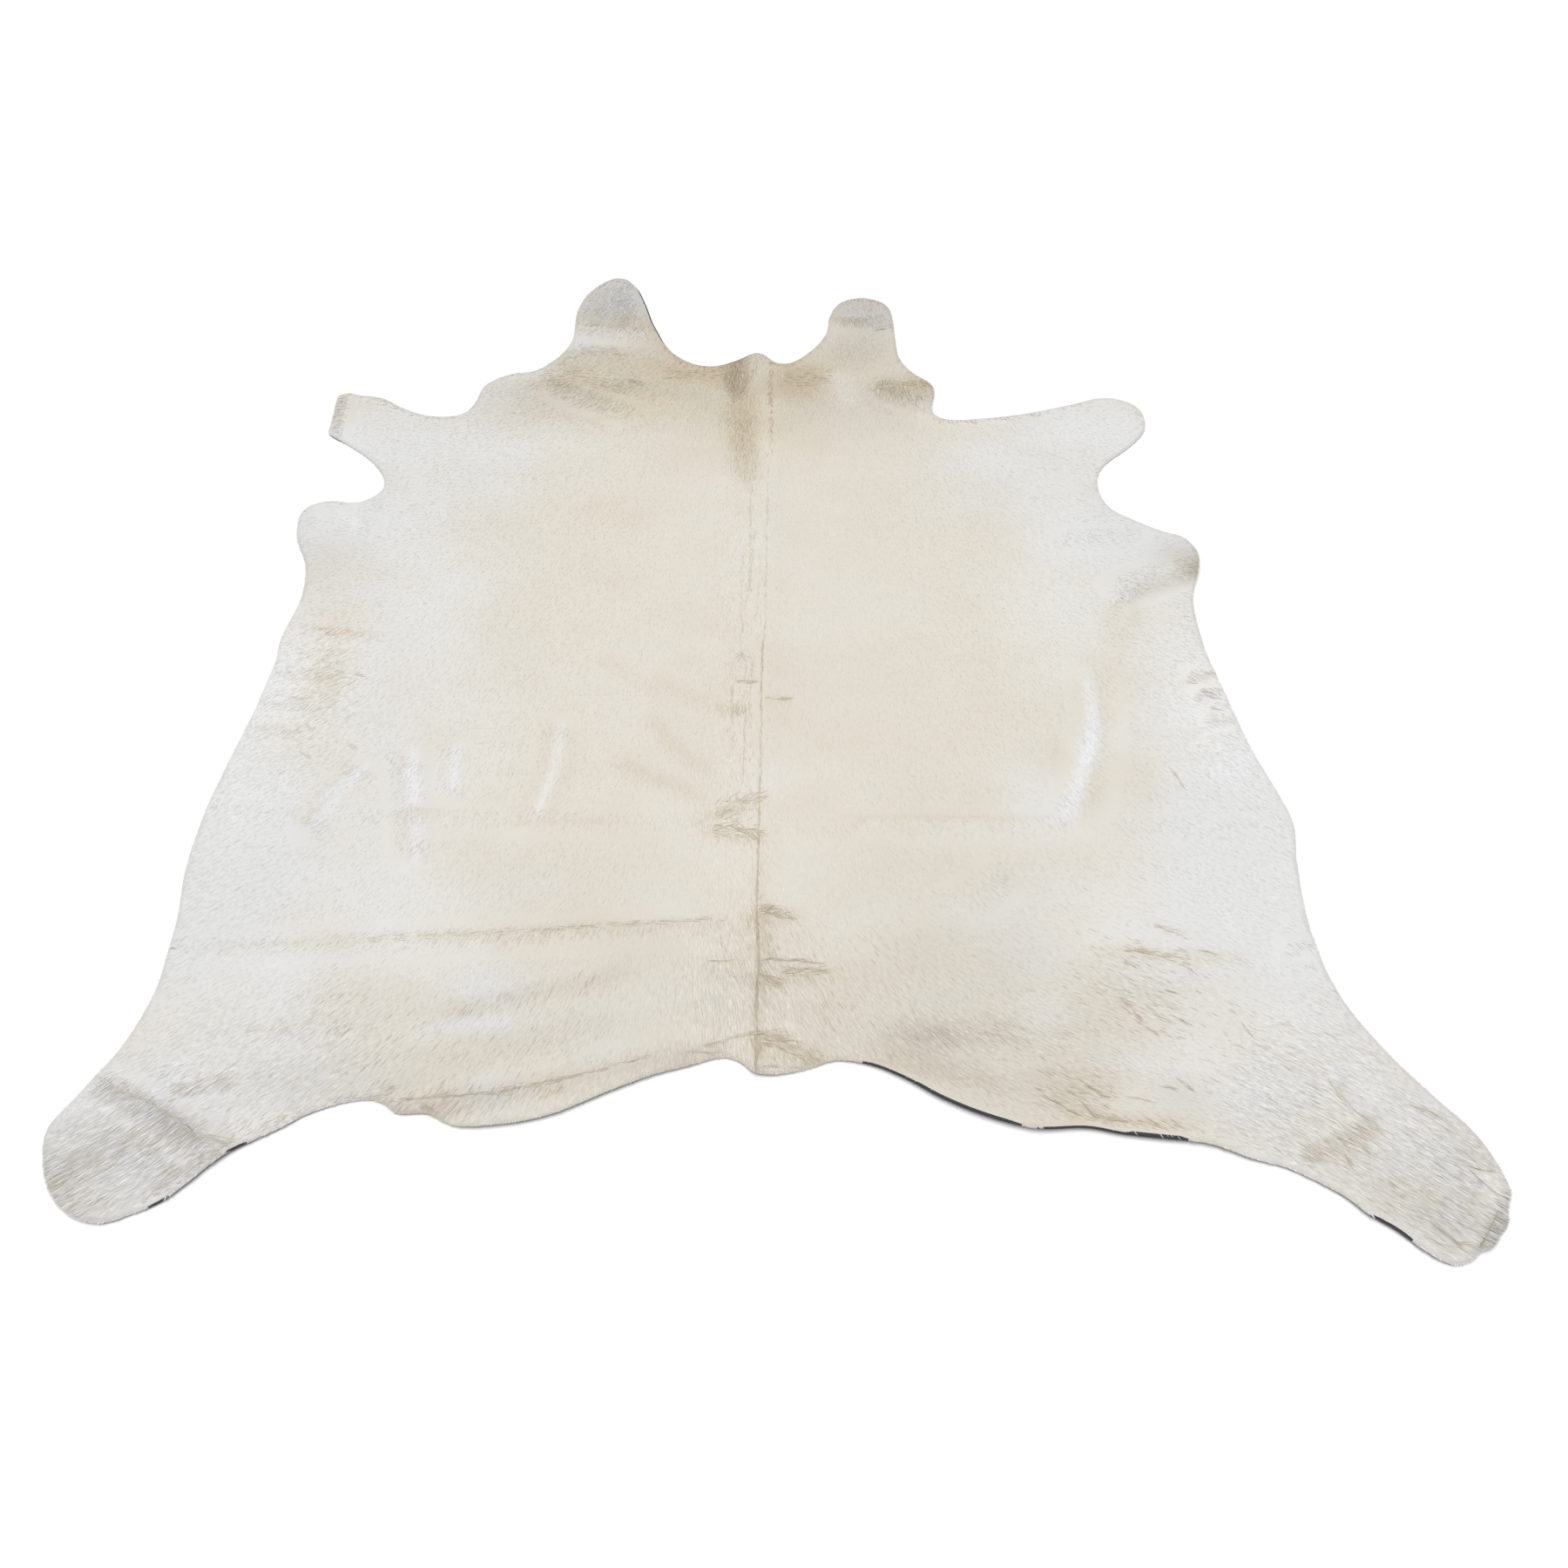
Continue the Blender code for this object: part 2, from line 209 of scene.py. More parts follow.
PATCHES = rows(
    Patch,
    (-0.93, -0.48, 0.24, 0.3, 0, -0.35, 0, 0.1),
    (0.83, -0.48, 0.26, 0.3, 0, -0.42, -0.03, 0.05),
    (-0.83, -0.13, 0.16, 0.26, 0, 0.06, -0.08, 0.18),
    (0.8, -0.14, 0.17, 0.3, 0, -0.02, -0.12, 0.18),
    (-0.88, 0.3, 0.17, 0.13, 0, -0.14, 0, 0),
    (0.7, 0.27, 0.17, 0.12, 0, -0.24, 0.01, 0),
    (-0.86, 0.57, 0.2, 0.13, 0, -0.12, -0.02, 0),
    (0.69, 0.57, 0.22, 0.14, 0, -0.2, -0.05, 0),
    (-0.66, 0.45, 0.28, 0.24, 0, -0.16, -0.01, 0),
    (0.46, 0.42, 0.26, 0.22, 0, -0.22, -0.01, 0),
    (-0.32, 0.18, 0.3, 0.3, 0, -0.06, -0.02, 0),
    (-0.3, -0.5, 0.32, 0.15, 0, 0, 0.04, 0),
    (0.26, -0.51, 0.32, 0.15, 0, -0.02, 0.05, 0),
    (-0.96, -0.94, 0.24, 0.2, -40, -0.14, 0.01, 0.4),
    (0.96, -1, 0.28, 0.2, 40, -0.05, 0.03, 0.45),
    (0.79, -0.86, 0.24, 0.16, 50, -0.04, -0.01, 0.4),
    (-0.75, -0.8, 0.24, 0.16, 0, -0.06, -0.02, 0.18),
    (0.3, -0.79, 0.36, 0.16, 0, -0.04, 0.06, 0.14),
    (-0.3, -0.75, 0.4, 0.15, 0, -0.05, 0.02, 0.05),
    (-0.36, 1.02, 0.17, 0.18, 0, -0.56, 0.05, 0.2),
    (-0.43, 0.85, 0.12, 0.07, 0, -0.56, -0.06, 0),
    (-0.54, 0.765, 0.11, 0.06, 0, -0.42, -0.08, 0),
    (0.21, 0.975, 0.13, 0.1, 0, -0.36, 0.15, 0.2),
    (0.205, 0.86, 0.13, 0.11, 0, -0.16, 0.1, 0.12),
    (-0.337, 0.945, 0.04, 0.034, 0, 0.4, 0.04, 0.1),
    (-0.2, 0.775, 0.14, 0.07, 0, 0.2, 0.02, 0),
    (-0.085, 0.765, 0.04, 0.1, 0, 0.2, 0.2, 0.15),
    (-0.068, 0.6, 0.062, 0.17, 0, 0.2, 0.03, 0.3),
    (-0.08, 0.56, 0.32, 0.19, 0, 0.18, 0.04, 0),
    (-0.27, 0.65, 0.2, 0.08, 0, 0.28, -0.05, 0),
    (-0.4, 0.75, 0.08, 0.06, 0, 0.04, -0.05, 0),
    (-0.11, 0.75, 0.07, 0.05, 0, 0.36, 0.03, 0),
    (-0.04, 0.655, 0.11, 0.06, 0, 0.06, -0.08, 0),
    (-0.29, 0.85, 0.06, 0.06, 0, 0, 0.05, 0),
    (-0.7, 0.42, 0.13, 0.14, 0, 0.12, 0, 0),
    (0.62, -0.09, 0.08, 0.16, 0, 0.12, 0, 0),
    (0.45, -0.36, 0.11, 0.18, 0, -0.26, -0.02, 0),
    (-0.44, -0.7, 0.11, 0.11, 0, -0.3, -0.02, 0),
    (-0.89, -0.37, 0.13, 0.16, 0, 0.02, -0.04, 0),
    (-0.92, 0.05, 0.07, 0.07, 0, -0.14, -0.03, 0),
    (-0.64, -0.7, 0.13, 0.11, 0, 0.06, 0.04, 0),
    (-0.03, 0.25, 0.07, 0.11, 0, -0.08, -0.02, 0),
    (0.23, 0.56, 0.18, 0.1, 0, 0.04, 0.05, 0),
    (-0.056, 0.48, 0.05, 0.12, 0, 0.16, 0.06, 0.12),
    (-0.005, 0.56, 0.03, 0.2, 0, 0.1, -0.05, 0),
    (0.06, 0.74, 0.1, 0.1, 0, 0.24, 0.05, 0),
    (0.29, 0.695, 0.14, 0.08, 0, 0.16, 0.08, 0.26),
    # This row is painted shade at the rim below the right shoulder's fold.
    (0.822, 0.168, 0.06, 0.04, 0, 0.12, 0.18, 0.1),
    (0.8, 0.21, 0.1, 0.09, 0, 0.08, 0.13, 0),
    (-0.9, 0.21, 0.15, 0.12, 0, 0, 0.07, 0),
    (-0.94, -0.11, 0.13, 0.27, 0, -0.2, -0.09, 0),
    (-0.65, 0.14, 0.15, 0.26, 0, -0.1, -0.04, 0),
    (0.54, 0.06, 0.18, 0.38, 0, -0.16, -0.05, 0),
    (0.56, -0.58, 0.16, 0.16, 0, -0.12, -0.04, 0),
    (-0.55, -0.6, 0.16, 0.18, 0, -0.14, -0.04, 0),
    (0.26, -0.34, 0.2, 0.1, 0, 0, 0.04, 0),
    (0.27, -0.65, 0.22, 0.1, 0, 0.06, 0.08, 0),
    (-0.21, -0.64, 0.15, 0.09, 0, 0.08, 0.05, 0),
    (-0.03, -0.77, 0.13, 0.08, 0, 0.02, -0.09, 0),
    (0.42, -0.75, 0.09, 0.06, 0, -0.22, -0.05, 0),
    (0.41, -0.65, 0.1, 0.07, 0, -0.18, 0.03, 0),
    (-0.8, 0.05, 0.08, 0.07, 0, 0.16, 0, 0),
    (0, -0.31, 0.09, 0.06, 0, -0.24, -0.03, 0),
    (0, 0.36, 0.06, 0.2, 0, -0.1, 0, 0),
    (0.79, -0.76, 0.08, 0.06, 0, 0, -0.04, 0),
    (-0.4, -0.865, 0.09, 0.05, 0, -0.48, -0.02, 0),
    (-0.64, -0.85, 0.24, 0.08, 0, 0.04, 0.08, 0.1),
    (-0.83, -0.93, 0.1, 0.08, 0, 0.02, 0.04, 0.05),
    (-0.99, -0.89, 0.09, 0.09, 0, -0.06, -0.11, 0),
    (0.82, -0.85, 0.12, 0.11, 0, 0, -0.17, 0),
    (0.93, -0.93, 0.1, 0.09, 0, -0.1, -0.07, 0),
    # This row is painted shade on the right hind tip's folded facet.
    (1, -1.06, 0.06, 0.06, 0, -0.06, 0.18, 0.1),
    (0.4, -0.86, 0.06, 0.04, 0, 0, 0.05, 0),
    (0.61, -0.87, 0.08, 0.05, 0, -0.05, 0.08, 0),
    (0.23, -0.77, 0.11, 0.04, 0, -0.02, 0.09, 0.1),
    (0.445, -0.858, 0.1, 0.06, 10, 0.2, 0.03, 0.2),
    (-0.056, -0.035, 0.012, 0.012, 0, -0.3, 0.08, 0.2),
    (-0.16, -0.05, 0.06, 0.03, 0, 0.14, 0.02, 0),
    (0.364, 0.08, 0.06, 0.05, 0, 0.12, 0.01, 0),
    (-1, -0.985, 0.06, 0.06, 30, 0, 0.08, 0.1),
    (-0.96, -1.03, 0.06, 0.03, 0, 0, 0.05, 0.1),
    # This row is painted shade at and just below the left hind tip's crease.
    (-0.85, -0.918, 0.07, 0.036, -25, 0, 0.08, 0),
    (0.921, -1.003, 0.03, 0.02, 30, 0.22, 0, 0),
    (0.977, -1.024, 0.03, 0.02, 30, 0.22, 0, 0),
    (0.645, 0.03, 0.05, 0.08, 0, 0.22, 0.02, 0),
    (0.64, -0.3, 0.07, 0.14, 0, 0.16, 0.02, 0),
    (0.5, -0.26, 0.035, 0.055, 0, 0.16, 0.03, 0),
    (-0.8, -0.06, 0.06, 0.16, 0, 0.16, -0.03, 0.12),
    (-0.78, -0.38, 0.03, 0.05, -40, 0.22, 0.02, 0),
    (0.4, -0.56, 0.2, 0.09, 20, -0.2, 0, 0),
    (-0.42, -0.52, 0.16, 0.06, 10, -0.16, 0, 0),
    (0.56, -0.7, 0.15, 0.1, 0, 0.06, 0.02, 0.18),
    (-0.62, -0.745, 0.14, 0.12, 0, 0.1, 0.01, 0.08),
    (-0.025, -0.72, 0.2, 0.24, 0, 0.02, 0, 0.3),
)
BANDS = rows(
    Band,
    (-0.64, 0.77, 0.3, 0.77, 0, 0.16, 0.18, 0.06, 0.1),
    (-0.76, 0.655, 0.44, 0.645, 0, 0.12, 0.02, 0.09, 0.05),
    (-0.56, 0.815, -0.33, 0.835, 0, 0.028, 0.1, 0.04, 0.1),
    (-0.58, 0.74, -0.26, 0.715, 0, 0.03, 0.12, 0, 0.1),
    (-0.7, 0.69, -0.48, 0.715, 0, 0.05, -0.16, 0.02, 0),
    (-0.52, 0.626, -0.34, 0.6, 0, 0.016, 0.22, 0.02, 0),
    (-0.49, 0.915, -0.26, 0.866, 0, 0.04, -0.2, -0.04, 0),
    (-0.31, 0.97, -0.19, 0.78, 0, 0.036, 0.15, 0.07, 0),
    (0.13, 0.78, 0.18, 0.64, 0, 0.045, -0.24, -0.06, 0),
    (0.12, 0.955, 0.215, 0.935, 0, 0.014, 0.4, 0.03, 0),
    (0.2, 0.735, 0.42, 0.705, 0, 0.05, 0.16, 0.05, 0.12),
    (-0.068, 0.88, -0.084, 0.69, 0, 0.036, 0.16, 0.1, 0.15),
    (-0.06, 0.56, -0.06, -0.9, 0, 0.1, 0.03, -0.02, 0.12),
    (-0.018, -0.4, -0.018, -0.9, 0, 0.02, 0.12, 0.04, 0.05),
    (-0.4, 0.36, -0.23, 0.3, 0, 0.06, 0.14, 0.01, 0),
    (-0.33, -0.03, -0.18, -0.15, 0, 0.028, 0.14, 0.02, 0),
    (-0.24, -0.075, -0.085, -0.165, 0, 0.026, 0.16, 0.02, 0.05),
    (-0.23, -0.16, -0.08, -0.305, 0.014, 0.026, 0.16, 0.04, 0.08),
    (-0.29, -0.265, -0.085, -0.36, 0, 0.026, 0.16, 0.04, 0.08),
    (-0.105, -0.165, -0.04, -0.145, 0, 0.016, 0.25, 0.04, 0.15),
    (-0.02, -0.14, 0.045, -0.142, 0, 0.012, 0.2, 0.03, 0),
    (-0.15, -0.4, 0.01, -0.34, 0, 0.02, 0.22, 0.04, 0.15),
    (-0.135, -0.412, 0.01, -0.424, 0, 0.018, 0.28, 0.05, 0.2),
    # The next five rows are painted shadow: thin darker lines in the troughs of the two long
    # creases.
    (0.08, -0.39, 0.5, -0.39, 0, 0.012, 0.2, 0.03, 0),
    (-0.45, -0.402, -0.24, -0.397, 0, 0.01, 0.14, 0.03, 0),
    (-0.66, -0.389, -0.54, -0.376, 0, 0.01, 0.14, 0.03, 0),
    (-0.96, -0.636, -0.56, -0.612, 0, 0.012, 0.12, 0.03, 0),
    (-0.64, -0.619, 0.02, -0.577, 0, 0.014, 0.18, 0.03, 0.05),
    (-0.055, -0.572, 0.06, -0.572, 0, 0.018, 0.32, 0.07, 0.15),
    (-0.05, -0.676, 0.03, -0.686, 0, 0.014, 0.24, 0.07, 0.15),
    (-0.01, -0.67, 0.13, -0.674, 0, 0.014, 0.2, 0.03, 0.1),
    (-0.085, -0.69, -0.06, -0.775, 0, 0.016, -0.14, 0.05, 0),
    (-0.045, -0.778, 0.11, -0.822, 0, 0.026, 0.22, 0.06, 0.15),
    (-0.54, -0.746, -0.19, -0.668, 0, 0.026, 0.12, 0.07, 0.05),
    (-0.56, -0.824, -0.19, -0.75, 0, 0.04, 0.04, 0.04, 0.05),
    (-0.56, -0.77, -0.37, -0.75, 0, 0.022, -0.2, -0.02, 0),
    # This row is warmer, darker hair along the left rump's edge, with painted shade where the hide
    # bends down to it.
    (-0.62, -0.905, 0, -0.776, 0.01, 0.03, 0.16, 0.09, 0.1),
    (-0.52, -0.885, -0.34, -0.85, 0, 0.04, 0.02, 0.03, 0.05),
    # This row is painted shade along the left hind leg's lower edge, where the hide and its hair
    # turn down.
    (-0.85, -0.985, -0.52, -0.85, 0.01, 0.022, 0.1, 0.09, 0.2),
    (-0.575, -0.884, -0.45, -0.896, 0, 0.018, 0, 0.06, 0.15),
    # This row is painted shadow along the left hind tip's crease.
    (-1.01, -0.84, -0.74, -0.958, -0.012, 0.022, 0.04, 0.08, 0.05),
    (-1.01, -0.975, -0.93, -0.925, 0, 0.022, 0.04, 0.06, 0.1),
    (-0.885, -0.856, -0.77, -0.842, 0, 0.014, 0.06, 0.05, 0.15),
    (-0.8, -0.766, -0.68, -0.757, 0, 0.012, 0.1, 0.02, 0.05),
    (0.12, -0.78, 0.52, -0.762, 0, 0.04, 0.06, 0.02, 0.05),
    (0.13, -0.8, 0.38, -0.86, 0, 0.03, 0.16, 0.05, 0.08),
    (0.4, -0.895, 0.64, -0.918, 0, 0.02, 0.28, 0.04, 0.15),
    (0.48, -0.632, 0.78, -0.65, 0, 0.018, 0.2, 0.01, 0.15),
    (0.59, -0.58, 0.7, -0.622, 0, 0.012, 0.14, 0.02, 0),
    (0.44, -0.8, 0.6, -0.83, 0, 0.03, -0.16, -0.02, 0.05),
    (0.75, -0.958, 0.885, -0.905, 0, 0.022, 0.06, 0.02, 0.15),
    (0.9, -0.87, 1, -0.912, 0, 0.014, 0.05, 0.05, 0),
    (0.88, -1.01, 0.985, -1.07, 0, 0.03, 0, 0.05, 0),
    # The next nine rows are painted highlights: paler streaks along the ripples' crests, and paler
    # hair beside the right one.
    (-0.376, -0.165, -0.408, -0.42, -0.018, 0.015, -0.26, -0.07, 0),
    (-0.549, -0.23, -0.541, -0.35, 0, 0.014, -0.2, -0.05, 0),
    (-0.63, -0.235, -0.598, -0.385, 0, 0.018, -0.22, -0.07, 0),
    (-0.595, -0.38, -0.578, -0.49, 0, 0.016, -0.18, -0.04, 0),
    (-0.775, -0.425, -0.688, -0.265, 0, 0.014, -0.16, -0.05, 0),
    (-0.804, -0.398, -0.694, -0.282, 0, 0.012, -0.16, -0.04, 0),
    (0.573, -0.05, 0.486, -0.405, -0.031, 0.02, -0.3, -0.08, 0),
    (0.608, -0.06, 0.52, -0.4, -0.031, 0.026, 0.1, -0.05, 0),
    (0.566, -0.2, 0.488, -0.42, 0, 0.034, -0.16, -0.05, 0),
    # The next two rows are painted shade beside and below the right shoulder's fold.
    (0.65, 0.096, 0.98, 0.205, 0, 0.03, 0.08, 0.09, 0.05),
    (0.69, 0.11, 0.682, 0.02, 0, 0.016, 0.16, 0.04, 0),
    # This row is painted shadow along a crease on the left flank.
    (-0.88, 0.034, -0.71, 0.006, 0, 0.012, 0.22, 0.02, 0.05),
    (-0.818, 0.314, -0.75, 0.278, 0, 0.012, -0.3, 0.03, 0),
    (-0.89, 0.33, -0.812, 0.288, 0, 0.02, -0.1, -0.05, 0),
)
# Of these, the first, fourth and fifth are painted shade beside the folds at the left hind tip,
# the right hind tip's facet and the left fore stub; the second and third are the prongs' greyer
# hair.
SHADES = rows(
    Shade,
    (-1.02, -0.836, -0.74, -0.952, 0.2, -0.02, 0.04, 0.05),
    (-0.25, 0.893, -0.48, 0.942, 0.16, -0.06, 0.13, 0.05),
    (0.31, 0.925, 0.1, 0.948, 0.12, -0.1, 0.03, 0.05),
    (0.98, -1.078, 1.023, -1.028, 0.04, 0.15, 0.18, 0.2),
    (-0.923, 0.67, -0.914, 0.565, 0.05, 0.05, 0.1, 0.1),
)

# A shade's run takes up this much of a bell's half width, so its ends are fainter.
SHADE_RUN = 1.2

# The plain coat's warmth and darkness, and where its sides, neck and rump come in.
MIDDLE_WARM, SIDE_WARM, NECK_WARM = 0.45, 0.17, 0.12
PLAIN_DARK, SIDE_DARK, NECK_DARK, RUMP_DARK = 0.045, -0.01, 0.08, 0.05
PLAIN_COARSE = 0.05
PLAIN_LIGHT = 0.84
SIDE_FROM, SIDE_FADE = 0.35, 0.42
NECK_FROM, NECK_FADE, NECK_HALF_WIDTH, NECK_SIDE_FADE = 0.58, 0.20, 0.75, 0.25
RUMP_FROM, RUMP_FADE = -0.45, 0.30
COAT_LOW, COAT_HIGH = (0, -0.1, 0), (1, 1, 0.85)

# These lie with the nap.
STROKES = rows(
    Stroke,
    (-0.066, 0.64, -0.058, 0.43, 0, 0.018, 150, 0.04, 0.9, 8),
    (-0.006, 0.81, -0.004, 0.5, 0, 0.0024, 110, 0.14, 0.98, 30),
    (-0.056, -0.03, -0.056, -0.04, 0, 0.0026, 10, 0.1, 0.05, 60),
    (-0.07, -0.164, -0.04, -0.158, 0, 0.006, 30, 0.04, 0.95, 14),
    (-0.056, -0.05, -0.058, -0.35, 0, 0.024, 50, 0.03, 0.8, 6),
    (-0.05, 0.42, -0.05, -0.02, 0, 0.026, 40, 0.03, 0.8, 6),
    (-0.03, 0.44, -0.034, 0.01, 0, 0.016, 60, -0.06, 0.7, 8),
    (-0.014, -0.59, 0.006, -0.65, 0, 0.006, 50, 0.04, 0.9, 8),
    (-0.08, -0.6, -0.06, -0.78, 0, 0.03, 60, 0.02, 0.75, 7),
    (0.04, -0.6, 0.06, -0.78, 0, 0.03, 80, 0.02, 0.85, 7),
    (0.16, -0.58, 0.18, -0.76, 0, 0.05, 110, 0.01, 0.8, 7),
    (0.812, -0.929, 0.866, -0.912, 0, 0.005, 30, 0.06, 0.8, 14),
    (0.758, -0.956, 0.78, -0.947, 0, 0.004, 20, 0.05, 0.75, 12),
    (0.842, -0.93, 0.852, -0.946, 0, 0.003, 8, 0.08, 0.7, 8),
    (0.66, -0.79, 0.86, -0.9, 0, 0.07, 170, 0.06, 0.7, 8),
    (0.752, -0.957, 0.884, -0.905, 0, 0.016, 30, 0.03, 0.85, 8),
    (-0.946, -0.955, -0.998, -0.998, 0, 0.014, 60, 0.08, 0.55, 6),
    (-0.96, -0.9, -0.86, -1, 0, 0.09, 160, 0.06, 0.55, 6),
    (-0.86, -0.98, -0.74, -0.925, 0.008, 0.012, 110, 0.08, 0.5, 6),
    # This row is painted shade just below the left hind tip's crease.
    (-0.915, -0.912, -0.83, -0.936, 0, 0.01, 90, 0.06, 0.5, 6),
    (-0.87, -0.86, -0.79, -0.842, 0, 0.01, 50, 0.05, 0.6, 6),
    (-0.78, -0.93, -0.6, -0.866, 0.008, 0.01, 110, 0.06, 0.6, 6),
    (-0.54, -0.87, -0.3, -0.838, 0.008, 0.012, 90, 0.03, 0.9, 8),
    (-0.48, -0.732, -0.25, -0.68, 0, 0.011, 40, 0.02, 0.9, 8),
    (-0.5, -0.806, -0.26, -0.762, 0, 0.018, 30, 0.02, 0.85, 8),
    (-0.72, -0.69, -0.54, -0.82, 0, 0.06, 60, 0.04, 0.98, 6),
    (0.2, -0.765, 0.3, -0.775, 0, 0.014, 30, 0.03, 0.8, 8),
    (0.3, -0.772, 0.44, -0.772, 0, 0.014, 20, 0.02, 0.9, 8),
    (0.39, -0.85, 0.5, -0.875, 0, 0.02, 50, 0.06, 0.95, 8),
    (0.46, -0.9, 0.6, -0.912, 0, 0.006, 50, 0.06, 0.98, 8),
    (0.46, -0.67, 0.68, -0.74, 0, 0.05, 90, 0.08, 0.98, 6),
    (0.88, -0.96, 0.98, -1.05, 0, 0.06, 150, 0.08, 0.6, 8),
    (0.22, 0.7, 0.36, 0.68, 0, 0.034, 130, 0.04, 0.9, 8),
    (-0.84, 0.03, -0.78, -0.2, 0, 0.036, 60, 0.03, 0.98, 8),
)

